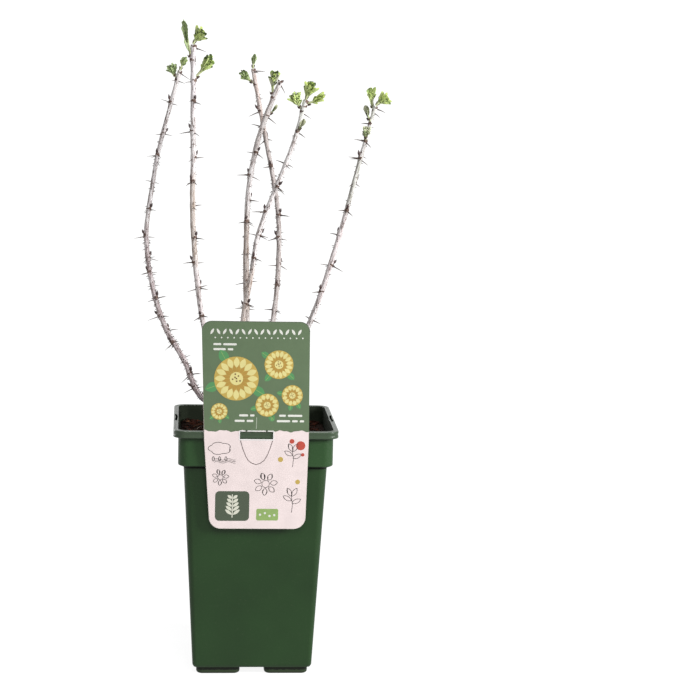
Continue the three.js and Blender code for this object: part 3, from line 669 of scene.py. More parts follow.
def pot_profile():
    """The pot's section, from under its floor, out and up to the folded lip, and down inside."""
    top, rim, lip = POT_HEIGHT, RIM_HALF, LIP_TOP
    lip_inside = rim - LIP_STEP - LIP_SKIRT
    step = LIP_FOOT + 0.42 * RIM_DEPTH
    groove_out, groove_in, groove_foot = rim - lip.groove_out, rim - lip.groove_in, top - lip.groove_deep
    return fillet([
        (BODY_FOOT_HALF - 1.3, FOOT_HEIGHT, 0), (BODY_FOOT_HALF, FOOT_HEIGHT + 2, 1.2),
        (BODY_TOP_HALF, BAND_FOOT - COLLAR_SLOPE, 0.7), (BAND_HALF - 0.5, BAND_FOOT, 0.5),
        (BAND_HALF, BAND_FOOT + 0.8, 0.5), (BAND_HALF, LIP_FOOT - LIP_SHADE_LINE, 0),
        (BAND_HALF, top - LIP_WEB, 0.5), (lip_inside, top - LIP_WEB, 0.4), (lip_inside, LIP_FOOT, 0.35),
        (rim, LIP_FOOT, 0.6), (rim, step - 1.2, 0.5), (rim - LIP_STEP, step, 0.6),
        (rim - LIP_STEP, step + 1, 0.5), (rim, step + 1.8, 0.6), (rim, top, lip.round),
        (groove_out, top, 0.25), (groove_out - 0.3, groove_foot, 0.25),
        (groove_in + 0.3, groove_foot, 0.25), (groove_in, top, 0.25), (rim - lip.inner, top, 0.3),
        (rim - lip.flare_end, top - lip.flare_depth, 0.8), (INNER_BAND_HALF, SOIL_TOP, 0.8),
        (INNER_BAND_HALF, BAND_FOOT + 1, 1.0), (pot_inner_half(INNER_TOP), INNER_TOP, 1.0),
        (pot_inner_half(POT_FLOOR), POT_FLOOR, 2.0),
    ])


def make_pot_shell():
    profile = pot_profile()
    rings = []
    for here, following in zip(profile, profile[1:] + profile[-1:]):
        cuts = max(1, int(abs(following.y - here.y) / 12))
        for k in range(cuts):
            half, z = here.lerp(following, k / cuts)
            rings.append(pot_ring(half, z, pot_bow(z)))
    return loft(rings)


def make_foot(x, y):
    """A foot with a rounded sole and a shallow hollow under it."""
    half = FOOT.size / 2
    sole = [(half - inwards, z) for inwards, z in FOOT.hollow]
    for angle in (radians(18 * i) for i in range(6)):
        sole.append((half - FOOT.round * (1 - sin(angle)), FOOT.round * (1 - cos(angle))))
    sole += [(half, FOOT.top), (half + 0.5, FOOT_HEIGHT - 0.5), (half + 0.5, FOOT_HEIGHT + 0.9)]
    return loft([[point + Vector((x, y, z))
                  for point in rounded_square(reach, max(1, FOOT.corner - (half - reach)), 6, 4)]
                 for reach, z in sole])


def under_lip():
    """The ribs that stiffen the hollow under the lip, and a block that closes it below each slot."""
    heights = (LIP_FOOT + LIP_RIB.short_of_foot, POT_HEIGHT - LIP_WEB + 0.4)
    inner, outer = BAND_HALF - 0.3, RIM_HALF - LIP_STEP - 0.6
    thick, half = LIP_RIB.thickness / 2, GRIP_SLOT.length / 2 + 3
    solids = []
    for side in (-1, 1):
        for y in LIP_RIB.places:
            solids.append(block((side * inner, side * outer), (y - thick, y + thick), heights))
            solids.append(block((-y - thick, -y + thick), (side * inner, side * outer), heights))
        solids.append(block((side * inner, side * (RIM_HALF - 0.6)), (-half, half), heights))
    return solids


def make_grip_slot(side):
    """A shallow chevron cut deep into the side of the lip, its point towards the inside."""
    x, half, wide = side * GRIP_SLOT.x, GRIP_SLOT.length / 2, GRIP_SLOT.width / 2
    point = x - side * GRIP_SLOT.chevron
    return prism([(x - wide, -half), (x + wide, -half), (point + wide, 0), (x + wide, half),
                  (x - wide, half), (point - wide, 0)], (POT_HEIGHT - GRIP_SLOT.deep, POT_HEIGHT + 3))


POT_BODY, POT_LIP, POT_INSIDE, POT_WORN_AND_SHADED, POT_PAINTED_SHADE, POT_BAND, POT_TOP = range(7)


def pot_face_finish(x, y, z, outward, upward):
    """A painted sheen lightens the lip and rim top, painted light the collar; the inside is darker and
    greyer, the feet are worn, and painted shade lies under each ledge, in the grip slots and on the feet.
    """
    half = max(abs(x), abs(y))
    in_slot = abs(abs(x) - GRIP_SLOT.x) < GRIP_SLOT.width and abs(y) < GRIP_SLOT.length / 2 + 0.1
    slot_wall = POT_HEIGHT - GRIP_SLOT.deep - 0.1 < z < POT_HEIGHT - 0.6 and abs(outward) < 0.99
    # painted shade: the grip slots' walls are dark, as a hole seen into
    if in_slot and slot_wall:
        return POT_PAINTED_SHADE
    # painted reflection: the rim's top takes a lighter, greyer shade beside its real gloss
    if z > POT_HEIGHT - 1 and upward > 0.3:
        return POT_TOP
    # painted reflection: the lip's outside takes a lighter, greyer shade beside its real gloss
    if z > LIP_FOOT - 0.2 and half > BAND_HALF + 0.3:
        return POT_LIP
    if z > POT_FLOOR + 1 and half < BAND_HALF + 0.25 and outward < 0.3:
        return POT_INSIDE
    # painted shade: a dark line under the lip and along the collar's downward slope
    if z > LIP_FOOT - LIP_SHADE_LINE or BAND_FOOT - COLLAR_SLOPE - 0.6 < z < BAND_FOOT - 0.3:
        return POT_PAINTED_SHADE
    # the feet's wear, with painted shade at their soles and below the body
    if z < FOOT.worn_below and outward > 0.3 or FOOT.worn_above < z < FOOT_HEIGHT + 0.4:
        return POT_WORN_AND_SHADED
    # painted light: the collar takes a lighter shade than the body, for the light it catches
    return POT_BAND if z > BAND_FOOT - 0.3 else POT_BODY


def build_pot():
    pot = add_solid("pot_shell", make_pot_shell())
    foot, far = FOOT.outer_half - FOOT.size / 2, DRAIN.offset
    feet = [make_foot(x, y) for x, y in ((-foot, -foot), (foot, -foot), (foot, foot), (-foot, foot))]
    boolean(pot, feet + under_lip(), "UNION")
    drains = [loft([circle(Vector((x, y, z)), UP, DRAIN.radius, DRAIN.sides) for z in DRAIN.heights])
              for x, y in ((0, 0), (far, 0), (-far, 0), (0, far), (0, -far))]
    boolean(pot, [make_grip_slot(-1), make_grip_slot(1)] + drains, "DIFFERENCE")
    pot.data.materials.clear()
    dress(pot, [
        pot_finish("pot_plastic", (34, 64, 29), 0.4, 0.2),
        # painted reflection: a lighter, greyer shade for the lip's sheen
        pot_finish("pot_lip", (62, 80, 58), 0.32, 0.3, 0.12, 0.004),
        pot_finish("pot_inside", (38, 44, 34), 0.8, 0.03, 0.1),
        # worn feet, with painted shade at the sole and below the body
        foot_finish("pot_foot_worn_and_shaded", (50, 64, 42), (18, 25, 14)),
        # painted shade, for the grip slots and under the lip and the collar
        pot_finish("pot_painted_shade", (15, 24, 13), 0.7, 0.1, 0.02),
        # painted light: a lighter, dustier shade than the body's, for the brighter-lit collar
        pot_finish("pot_band", (43, 76, 39), 0.4, 0.2, 0.2),
        # painted reflection: a lighter, greyer shade for the rim top's sheen
        pot_finish("pot_top", (70, 84, 68), 0.28, 0.8, 0.12, 0.002),
    ], ["pot"], 40)
    for face in pot.data.polygons:
        x, y, z = face.center / MM
        outward = face.normal.xy.dot(Vector((x, y)).normalized())
        face.material_index = pot_face_finish(x, y, z, outward, face.normal.z)
    pot.modifiers.new("even shading", "WEIGHTED_NORMAL").keep_sharp = True


# ---------------- soil

SOIL = Sizes(wall_gap=0.42, clump=13, clump_height=2.0, crumb=3.2, crumb_height=0.9, rings=64, seed=41,
             edge_sunk=1.4, edge_width=1 / 12, keep_from_stump=13)
CHIPS = Sizes(count=2600, least=2.0, most=8.5, slim=0.35, thin=0.22, tilt=0.5, lift=(-0.2, 0.7), seed=42,
              kinds=(0.6, 0.95))         # kinds: the chance's limits between the finishes
FIBRES = Sizes(count=420, least=7, most=20, radius=0.16, thickness=(0.7, 1.5), bend=0.35, lift=0.3,
               rise=(0.2, 1.8), steps=7, seed=43, kinds=(0.5, 0.86))


def soil_point(x, y, lift=0):
    """A place on the soil's clumpy surface, or lifted off it."""
    clump = noise.noise(Vector((x, y, SOIL.seed)) / SOIL.clump)
    crumb = noise.turbulence(Vector((x, y, 0)) / SOIL.crumb, 3, False)
    return Vector((x, y, SOIL_TOP + clump * SOIL.clump_height + (crumb - 0.5) * SOIL.crumb_height + lift))


def make_soil():
    gap = SOIL.wall_gap
    top_half = INNER_BAND_HALF - gap
    above, middle = POT_FLOOR + 3, (POT_FLOOR + INNER_TOP) / 2
    rings = [
        pot_ring(pot_inner_half(POT_FLOOR) - 2 - gap, POT_FLOOR + CLEARANCE),
        pot_ring(pot_inner_half(above) - gap, above, pot_bow(above)),
        pot_ring(pot_inner_half(middle) - gap, middle, pot_bow(middle) + gap),
        pot_ring(pot_inner_half(INNER_TOP) - 2 * gap, INNER_TOP),
        pot_ring(top_half - gap, BAND_FOOT + 2),
        pot_ring(top_half, SOIL_TOP - 4),
    ]
    for share in (1 - i / SOIL.rings for i in range(SOIL.rings)):
        sunk = SOIL.edge_sunk * (1 - min(1, (1 - share) / SOIL.edge_width))
        rings.append([soil_point(x * share, y * share, -sunk) for x, y, _ in pot_ring(top_half, 0)])
    return loft(rings)


def make_chip(dice, centre, length):
    """A splinter of bark with eight uneven corners."""
    turn = dice.between(0, TURN)
    tilt = dice.around(0, CHIPS.tilt)
    long_way = (polar(1, turn) + UP * sin(tilt) * 0.7).normalized()
    wide_way = long_way.cross(UP).normalized()
    thick_way = wide_way.cross(long_way)
    width = length * dice.between(CHIPS.slim * 0.6, CHIPS.slim * 1.7)
    thick = length * dice.between(CHIPS.thin * 0.5, CHIPS.thin * 1.3)
    rings = []
    for end, narrow in ((-1, 0.35), (-0.55, 1), (0.5, 0.9), (1, 0.3)):
        ring = []
        for across, up in ((-1, -1), (1, -1), (1, 1), (-1, 1)):
            jitter = dice.around(1, 0.25) * narrow
            ring.append(centre + long_way * end * length / 2 * dice.around(1, 0.12)
                        + wide_way * across * width / 2 * jitter + thick_way * up * thick / 2 * jitter)
        rings.append(ring)
    return loft(rings)


def make_fibre(dice, place, length):
    """A coir thread that lies in a loose bend on the soil."""
    turn = dice.between(0, TURN)
    bend = dice.around(0, FIBRES.bend)
    rise = dice.between(*FIBRES.rise)
    line = []
    for i in range(FIBRES.steps + 1):
        line.append(soil_point(place.x, place.y, FIBRES.lift + rise * sin(pi * i / FIBRES.steps)))
        place = place + polar(1, turn) * length / FIBRES.steps
        turn += bend
    widths = [0.5] + [1] * (FIBRES.steps - 1) + [0.5]
    return tube(line, FIBRES.radius * dice.between(*FIBRES.thickness), widths, 4)


def scattered(dice, half):
    """A place on the soil, clear of the stump's foot."""
    while True:
        x, y = dice.around(0, half), dice.around(0, half)
        if hypot(x - STUMP.middle, y) > SOIL.keep_from_stump:
            return x, y


def build_soil():
    ground = soil_finish("soil_ground", (14, 9, 7), (46, 28, 20))
    dark = soil_finish("chip_dark", (18, 11, 8), (52, 31, 22))
    red = soil_finish("chip_red", (44, 21, 14), (96, 50, 34))
    tan = soil_finish("chip_tan", (64, 42, 30), (118, 82, 58))
    pale = soil_finish("fibre_pale", (120, 108, 96), (176, 164, 150))
    add_piece("soil_body", Shape().add(make_soil()), [ground], ["soil"], 80)

    dice, chips = Dice(CHIPS.seed), Shape()
    for _ in range(CHIPS.count):
        x, y = scattered(dice, INNER_BAND_HALF - 5)
        length = mix(CHIPS.least, CHIPS.most, dice.next() ** 2)
        centre = soil_point(x, y, dice.between(*CHIPS.lift))
        kind = bisect_right(CHIPS.kinds, dice.next())
        chips.add(make_chip(dice, centre, length), kind)
    add_piece("soil_bark_chips", chips, [dark, red, tan], (), 30)

    dice, fibres = Dice(FIBRES.seed), Shape()
    for _ in range(FIBRES.count):
        x, y = scattered(dice, INNER_BAND_HALF - FIBRES.most)
        length = dice.between(FIBRES.least, FIBRES.most)
        kind = bisect_right(FIBRES.kinds, dice.next())
        fibres.add(make_fibre(dice, Vector((x, y, 0)), length), kind)
    add_piece("soil_fibres", fibres, [red, tan, pale])


# ---------------- stump

STUMP = Sizes(x=-6, y=0, foot_radius=12.5, waist_radius=8.8, top_radius=7.4, lean=1.2, flare_top=0.35,
              flare_lobes=3, flare_depth=0.14, flare_turn=1, shoulder=0.85, shoulder_depth=0.45, sides=72,
              levels=46, sunk=3, height=node_box("stump")[1].z - SOIL_TOP - CLEARANCE,
              middle=(node_box("stump")[0].x + node_box("stump")[1].x) / 2)


def stump_ring(part):
    size = STUMP
    flare = max(0, 1 - part / size.flare_top) ** 2
    above = max(0, part - size.flare_top) / (1 - size.flare_top)
    over = max(0, part - size.shoulder) / (1 - size.shoulder)
    radius = (size.waist_radius + flare * (size.foot_radius - size.waist_radius)
              + above * (size.top_radius - size.waist_radius)) * (1 - size.shoulder_depth * over**2)
    middle = Vector((size.x - size.lean * part, size.y, SOIL_TOP + CLEARANCE + size.height * part))
    ring = []
    for angle in (TURN * i / size.sides for i in range(size.sides)):
        lobe = 1 + size.flare_depth * flare * cos(size.flare_lobes * angle + size.flare_turn)
        out = polar(1, angle)
        plate = noise.noise(out * 2.6 + UP * part * 2.2)
        crack = abs(noise.noise(out * 5.5 + UP * (part * 3.1 + 7)))
        relief = 1 + 0.09 * plate - 0.1 * max(0, 0.25 - crack) / 0.25
        ring.append(middle + out * radius * lobe * relief)
    return ring


def build_stump():
    below = [point - UP * STUMP.sunk for point in stump_ring(0)]
    rings = [below] + [stump_ring(i / STUMP.levels) for i in range(STUMP.levels + 1)]
    bark = bark_finish("old_bark", (158, 140, 124), (110, 90, 76), (52, 38, 30))
    add_piece("stump_bark", Shape().add(loft(rings)), [bark], ["stump"], 80)


# ---------------- canes

BARK = Sizes(step=1.1, sides=20, flake=0.13, ridge=0.07, tint_edge=18,
             swell=0.0735, cushion=0.315, swell_below=1.2, swell_reach=3.4,  # at each node
             dark=1.9, dark_below=1.4, cut_bevel=0.5, cut_width=0.9, cut_brown=0.5,
             crack=0.28, smooth_crack=0.48, smooth_top=26, bristly_crack=0.1, bristly_part=0.6,
             fissure=0.032, fissure_gap=-0.05)
PATTERNS = Sizes(                        # how fine around the cane, how long along it, and a seed
    flake=(1.3, 9, 17), ridge=(4.2, 26, 17), ragged=(2, 1.5, 5), fissure=(1.15, 24, 10), crack=(3.4, 11, 5))
BARK_MAIN, BARK_CRACK, BARK_NODE, BARK_FISSURE = range(4)
THORN_FOOT, THORN_SHAFT = range(2)
BRISTLES = Sizes(length=(2.0, 4.4), shorter=(0.55, 1), radius=0.27, widths=(1.8, 0.95, 0.2), cluster=9,
                 root_at=0.8, bow=0.08, droop=(10, 24), bare=-0.12, bristly_bare=0.12, thick_part=0.56,
                 seed=200)
SPINE = Sizes(chance=0.7, turn=(180, 38), length=(6.2, 1.6), droop=(12, 12), below=3, root_at=0.5, bow=0.2,
              radius=0.46, seed=300)     # on the side of a node that turns away from its bud
DEAD_TIP = Sizes(buds=((20, 30, 0.6), (150, 42, 1.6), (265, 55, 3.0)),  # turn, lean, how far back
                 bud_root=0.55, bud_length=3.2, bud_bend=0.2, thorn_back=2.2,
                 thorn=(350, 38, 0.4, 7.5), thorn_bow=0.3)  # thorn: turn, droop, root and length


def bark_noise(cane, distance, angle, pattern):
    fine, long, seed = pattern
    return noise.noise(polar(fine, angle) + UP * distance / long + UP * cane.seed * seed)


def cane_relief(cane, distance, angle):
    """How much larger the cane is than its plain radius, at one place on its bark."""
    flake = bark_noise(cane, distance, angle, PATTERNS.flake)
    ridge = bark_noise(cane, distance, angle, PATTERNS.ridge)
    swell = 0
    for node in cane.nodes:
        away = (distance - node.distance + BARK.swell_below) / BARK.swell_reach
        if abs(away) < 3:
            facing = max(0, cos(angle - radians(node.turn)))
            swell += exp(-away**2) * (BARK.swell + BARK.cushion * facing**3)
    return 1 + BARK.flake * flake + BARK.ridge * ridge + swell


def bark_face(cane, distance, angle):
    """Whether a place on the bark is a crack, a fissure, a dark node or plain."""
    to_tip = cane.length - distance
    ragged = bark_noise(cane, distance, angle, PATTERNS.ragged)
    for node in cane.nodes:
        facing = cos(angle - radians(node.turn))
        reach = BARK.dark * (0.25 + 0.5 * facing + 0.5 * ragged)
        if abs(distance - node.distance + BARK.dark_below) < reach:
            return BARK_NODE
    if to_tip < BARK.cut_brown * (1 + ragged):
        return BARK_NODE
    young = to_tip < BARK.smooth_top
    fissure = bark_noise(cane, distance, angle, PATTERNS.fissure)
    if abs(fissure) < BARK.fissure and ragged > BARK.fissure_gap and not young:
        return BARK_FISSURE
    low_down = cane.bristly and distance < cane.length * BARK.bristly_part
    limit = BARK.bristly_crack if low_down else BARK.smooth_crack if young else BARK.crack
    return BARK_CRACK if bark_noise(cane, distance, angle, PATTERNS.crack) > limit else BARK_MAIN


def make_cane(cane):
    """A cane's bark, and the finish of each of its faces in the order that loft makes them."""
    steps = round(cane.length / BARK.step)
    rings = []
    for share in (i / steps for i in range(steps + 1)):
        distance = share * cane.length
        point, direction, radius = cane.at(distance)
        across, behind = across_limb(direction)
        radius += mix(*cane.stout, share)
        radius *= BARK.cut_width if cane.length - distance < BARK.cut_bevel else 1
        ring = []
        for angle in (TURN * k / BARK.sides for k in range(BARK.sides)):
            reach = radius * cane_relief(cane, distance, angle)
            ring.append(point + across * reach * cos(angle) + behind * reach * sin(angle))
        rings.append(ring)
    finishes = []
    for angle in (TURN * (k + 0.5) / BARK.sides for k in range(BARK.sides)):
        along = [bark_face(cane, (i + 0.5) / steps * cane.length, angle) for i in range(steps)]
        finishes += [BARK_NODE, *along, BARK_NODE]
    return loft(rings), finishes


def add_thorn(shape, root, tip, bow, radius=THORN.radius):
    """A slim spine, dark at its broad foot, that bows a little on its way out."""
    line = bent_line(root, root.lerp(tip, THORN.reach), UP * bow, 6)
    shape.add(tube(line[:3], radius, THORN.widths, 7), THORN_FOOT)
    shape.add(tube(line[2:], radius, THORN.widths[2:], 7), THORN_SHAFT)


def bud_scale(foot, way, side, length, radius):
    """One of the scales that wrap a bud, a little apart from it at its tip."""
    across = way.cross(side).normalized()
    outer = []
    for part, width in ((0, 0.7), (0.3, 1), (0.65, 0.75), (1, 0.05)):
        centre = foot + way * length * part + side * radius * (0.9 + 0.25 * part)
        outer.append([centre + across * radius * width * turn - side * radius * 0.55 * turn**2 * width
                      for turn in (-1, -0.5, 0, 0.5, 1)])
    return sheet(outer, [[point - side * 0.16 for point in row] for row in outer])


def add_bud(shape, foot, way, turn, length, curve):
    """A slim pointed bud with three scales around its foot."""
    radius = BUD.radius * BUD.fullness
    shape.add(tube(bent_line(foot, foot + way * length, curve, 7), radius, BUD.widths, 9))
    for side in (outward_from(way, turn + 120 * k) for k in range(3)):
        shape.add(bud_scale(foot, way, side, length * BUD.scale_length, radius * BUD.scale_radius), 1)


def add_bristles(shape, cane):
    """Fine bristles in clusters between the thorns, thickest on a bristly cane's lower half."""
    dice = Dice(BRISTLES.seed + cane.seed)
    start, end = cane.first_node * 0.5, cane.length * (0.9 if cane.bristly else 0.98)
    bare = BRISTLES.bristly_bare if cane.bristly else BRISTLES.bare
    for _ in range(round((end - start) * cane.bristles)):
        distance = dice.between(start, end)
        thick = cane.bristly and distance < cane.length * BRISTLES.thick_part
        length = dice.between(*BRISTLES.length) * dice.between(*BRISTLES.shorter)
        turn, droop = dice.between(0, 360), dice.around(*BRISTLES.droop)
        sparse = noise.noise(Vector((0, cane.seed * 3, distance / BRISTLES.cluster)))
        if not thick and sparse < bare:
            continue
        spot = cane.at(distance)
        foot, tip = spike(spot, turn, droop, BRISTLES.root_at, length)
        if clear_of_tufts(foot, tip):
            line = bent_line(foot, tip, spot[1] * BRISTLES.bow, 2)
            shape.add(tube(line, BRISTLES.radius, BRISTLES.widths, 4), THORN_SHAFT)


def add_back_spines(shape, cane):
    """Slimmer spines opposite the buds, on some nodes."""
    dice = Dice(SPINE.seed + cane.seed)
    for node in cane.nodes:
        wanted = dice.next() < SPINE.chance
        turn = node.turn + dice.around(*SPINE.turn)
        length, droop = dice.around(*SPINE.length), dice.around(*SPINE.droop)
        spot = cane.at(max(0, node.distance - SPINE.below))
        root, tip = spike(spot, turn, droop, SPINE.root_at, length)
        if wanted and clear_of_tufts(spot[0], tip):
            add_thorn(shape, root, tip, SPINE.bow, SPINE.radius)


def add_withered_tip(spines, buds, cane):
    """A cane without a tuft at its end bears a thorn and a few dead buds there."""
    point, direction, radius = cane.at(cane.length)
    for turn, lean, back in DEAD_TIP.buds:
        outward = outward_from(direction, turn)
        foot = point - direction * back + outward * radius * DEAD_TIP.bud_root
        way = turned(direction, outward, lean)
        add_bud(buds, foot, way, turn, DEAD_TIP.bud_length, outward * DEAD_TIP.bud_bend)
    spot = point - direction * DEAD_TIP.thorn_back, direction, radius
    add_thorn(spines, *spike(spot, *DEAD_TIP.thorn), DEAD_TIP.thorn_bow)


def build_cane(cane, bark, thorn, bud):
    wood = Shape().add(*make_cane(cane))
    add_piece(f"cane_{cane.place}", wood, bark, [f"stem_{cane.place}"], 80)

    dice, spines, buds = Dice(THORN.bow_seed + cane.seed), Shape(), Shape()
    slim = THORN.radius * (THORN.bristly_slim if cane.bristly else 1)
    for root, tip in thorns_of(cane):
        add_thorn(spines, root, tip, dice.between(*THORN.bow), slim)
    add_bristles(spines, cane)
    add_back_spines(spines, cane)
    for node in (node for node in cane.nodes if node.bud):
        point, direction, radius = cane.at(node.distance)
        outward = outward_from(direction, node.turn)
        foot = point + outward * (radius * BUD.root_at + BUD.stands_off)
        length = BUD.length * dice.around(*BUD.longer)
        add_bud(buds, foot, turned(direction, outward, BUD.lean), node.turn, length, outward * 0.3)
    if all(tuft.up for tuft in cane.tufts):
        add_withered_tip(spines, buds, cane)
    add_piece(f"thorns_{cane.place}", spines, thorn)
    add_piece(f"buds_{cane.place}", buds, bud, (), 50)


def build_canes():
    thorn = [bark_finish("thorn_foot", (108, 88, 80), (74, 58, 54), (44, 32, 30)),
             bark_finish("thorn_shaft", (140, 128, 120), (102, 90, 84), (66, 56, 52))]
    bud = [plain_finish("bud_skin", (62, 40, 38), 0.55, 0.5, 0.35, 0.05),
           plain_finish("bud_scales", (96, 64, 56), 0.6, 0.5, 0.35, 0.05)]
    for cane in canes:
        place, tints = cane.place, cane.tints
        build_cane(cane, [
            bark_finish(f"bark_{place}", (266, 262, 262), (252, 246, 245), (204, 193, 191), tints),
            bark_finish(f"bark_crack_{place}", (212, 201, 199), (178, 165, 161), (124, 110, 106), tints[:1]),
            bark_finish(f"bark_node_{place}", (152, 126, 114), (98, 76, 66), (54, 40, 36)),
            bark_finish(f"bark_fissure_{place}", (170, 157, 153), (132, 119, 115), (92, 79, 75)),
        ], thorn, bud)


# ---------------- leaves

BLADE = Sizes(foot=0.24,                 # where the stalk ends and the blade starts
              lobes=(0.66, 0.90, 1.0, 0.90, 0.66), edge=(0.42, 0.76, 0.9, 1.0, 0.965, 1.0, 0.9, 0.76),
              open=188, young_open=104,  # degrees that the blade's lobes fan out over
              pleat=0.19, rings=6, thickness=0.16, cup=0.14, crinkle=0.04, crinkle_size=3,
              stalk_radii=(0.45, 0.38, 0.34, 0.3))
# the ribs take a painted highlight and the hollows painted shade
ZONES = ("hollow", "blade", "blade", "rib_highlight", "rib_highlight", "blade", "blade", "hollow")  # across each lobe
YOUNG = Sizes(extra=6, extra_closed=6, seed=500, root=(0.02, 0.5), reach=(0.62, 0.96), blade=(0.65, 1.0),
              longest_blade=0.8, fan=(0.1, 0.85), turn=70, fold=(42, 16), youth=(0.3, 1), own_youth=0.6,
              dark_tip=0.3, deep=0.15, per_length=0.2)
CLOSED = Sizes(fan=34, range=14, all=0.9, youth=1.75, young_youth=1.225, fold=34, gather=0.7, spread=0.6,
               length=(1.05, 1.6), climb=0.11, blade=0.9, narrow=0.4, open=40)
GATHERED = {"middle_top": 0.45, "inner_left_side": 0.3, "back_side": 0.3}  # wide tufts, partly closed
# The rib green is a painted highlight and the hollow green painted shade.
GREENS = {
    "bright": (238, 258, 152), "fresh": (216, 240, 142), "deep": (138, 164, 88), "grey": (182, 202, 144),
    "pale": (224, 228, 192), "rib_highlight": (244, 256, 182), "hollow": (84, 112, 42), "dark": (86, 108, 54),
    "pale_under": (220, 238, 158), "grey_under": (176, 196, 140), "stalk": (206, 218, 156),
}


def cad_leaf_tips(root, way, face, length, fold):
    """The outer points of the source's leaf, which decide whether it has room."""
    across, bend = way.cross(face).normalized(), radians(fold)
    tips = [root + way * up * length + across * side * out * cos(bend) * length
            + face * (out * sin(bend) + rise) * length
            for side in (1, -1) for up, out, rise in (LEAF.shoulder, LEAF.notch)]
    return tips + [root + way * length]


def has_room(points, tuft):
    """Whether points are nearer to their own tuft than to another one, and clear of the canes."""
    for point in points:
        own = distance_to_segment(point, tuft.foot, tuft.tip) + LEAF.own_space_margin
        if any(other is not tuft and distance_to_segment(point, other.foot, other.tip) < own
               for other in tufts):
            return False
        for cane in canes:
            away = min(distance_to_segment(point, *ends) for ends in zip(cane.coarse, cane.coarse[1:]))
            if away < cane.diameters[0] / 2 + 2 * CLEARANCE:
                return False
    return True


def leaf_grid(root, way, face, length, fold, youth, stalk):
    """A pleated, five-lobed blade as rows of points from its foot out to its toothed edge."""
    across, bend = way.cross(face).normalized(), radians(fold)
    spread = radians(max(CLOSED.open, mix(BLADE.open, BLADE.young_open, youth)))
    narrow = 1 - CLOSED.narrow * max(0, youth - 1)
    steps, last = len(BLADE.edge), len(BLADE.lobes) - 1
    count = len(BLADE.lobes) * steps
    rows = []
    for share in (max(0.02, i / BLADE.rings) for i in range(BLADE.rings + 1)):
        row = []
        for j in range(count + 1):
            lobe = min(j // steps, last)
            step = (j - lobe * steps) % steps
            between_lobes = step == 0 and 0 < j < count
            lobe_reach = min(BLADE.lobes[lobe - between_lobes:lobe + 1])
            r = (1 - stalk) * lobe_reach * BLADE.edge[step] * share
            from_middle = abs((j - lobe * steps) / steps - 0.5) * 2
            angle = (j / count - 0.5) * spread
            up, out = stalk + r * cos(angle), r * sin(angle) * narrow
            pleat = BLADE.pleat * (1 + youth) * r * (from_middle - 0.5)
            cup = BLADE.cup * (0.2 + youth) * r**2
            place = (root + way * up * length + across * out * cos(bend) * length
                     + face * (abs(out) * sin(bend) + pleat + cup) * length)
            crinkle = noise.noise(place / BLADE.crinkle_size) * BLADE.crinkle * share
            row.append(place + face * crinkle * length)
        rows.append(row)
    return rows


def add_leaf(shape, root, way, face, length, fold, youth, greens, stalk=BLADE.foot):
    """A leaf on its stalk, its upper side and underside each in their own green, its ribs a lighter green as
    painted highlight and its hollows a darker one as painted shade.
    """
    rows = leaf_grid(root, way, face, length, fold, youth, stalk)
    points, faces = sheet(rows, [[point - face * BLADE.thickness for point in row] for row in rows])
    finishes = []
    for row in range(BLADE.rings):
        for zone in ZONES * len(BLADE.lobes):
            zone = "tip" if row == BLADE.rings - 1 else zone
            finishes += [greens[zone], greens["under" if zone in ("blade", "rib_highlight") else zone]]
    finishes += [greens["blade"]] * (len(faces) - len(finishes))
    shape.add((points, faces), finishes)
    foot = root + way * (stalk + 0.04) * length
    stalk_line = bent_line(root, foot, face * -0.15, 3)
    shape.add(tube(stalk_line, 1, BLADE.stalk_radii, 6), greens["stalk"])


def leaf_frame(tuft, turn, spread):
    """Which way a leaf points and which way it faces."""
    side = outward_from(tuft.axis, turn)
    return turned(tuft.axis, side, spread), turned(-side, tuft.axis, spread)


def greens_of(tuft, dice):
    """The numbers of the greens that one leaf of a tuft is dealt."""
    top, grey_leaf = tuft.top, tuft.top in ("grey", "pale")
    dark_tip = dice.next() < YOUNG.dark_tip and not grey_leaf
    if not grey_leaf and dice.next() < YOUNG.deep:
        top = "deep"
    # painted highlight on the ribs, painted shade in the hollows with a darker green
    zones = {"blade": top, "under": tuft.under, "rib_highlight": "stalk" if grey_leaf else "rib_highlight", "stalk": "stalk",
             "hollow": "grey_under" if top == "pale" else "deep" if grey_leaf else "hollow",
             "tip": "dark" if dark_tip else top}
    return {zone: list(GREENS).index(green) for zone, green in zones.items()}


def add_own_leaves(leaves, tuft, closed, dice, extra):
    """A tuft's leaves by the source's rule."""
    for k in range(tuft.leaves):
        part = k / (tuft.leaves - 1)
        turn = dice.around(tuft.turn + k * LEAF.turn, LEAF.turn_jitter)
        spread = dice.around(tuft.fan * (1 - LEAF.upright * part), LEAF.spread_jitter)
        length = tuft.blade * dice.around(1 - LEAF.shrink * part, LEAF.length_jitter)
        fold = dice.around(*LEAF.fold)
        root = tuft.foot + tuft.axis * tuft.shoot * mix(SHOOT.lowest_leaf, SHOOT.highest_leaf, part)
        way, face = leaf_frame(tuft, turn, spread)
        if has_room(cad_leaf_tips(root, way, face, length, fold), tuft):
            way, face = leaf_frame(tuft, turn, spread * (1 - CLOSED.spread * closed))
            add_leaf(leaves, root, way, face, length, fold + closed * CLOSED.fold,
                     part * YOUNG.own_youth + closed * CLOSED.youth, greens_of(tuft, extra))


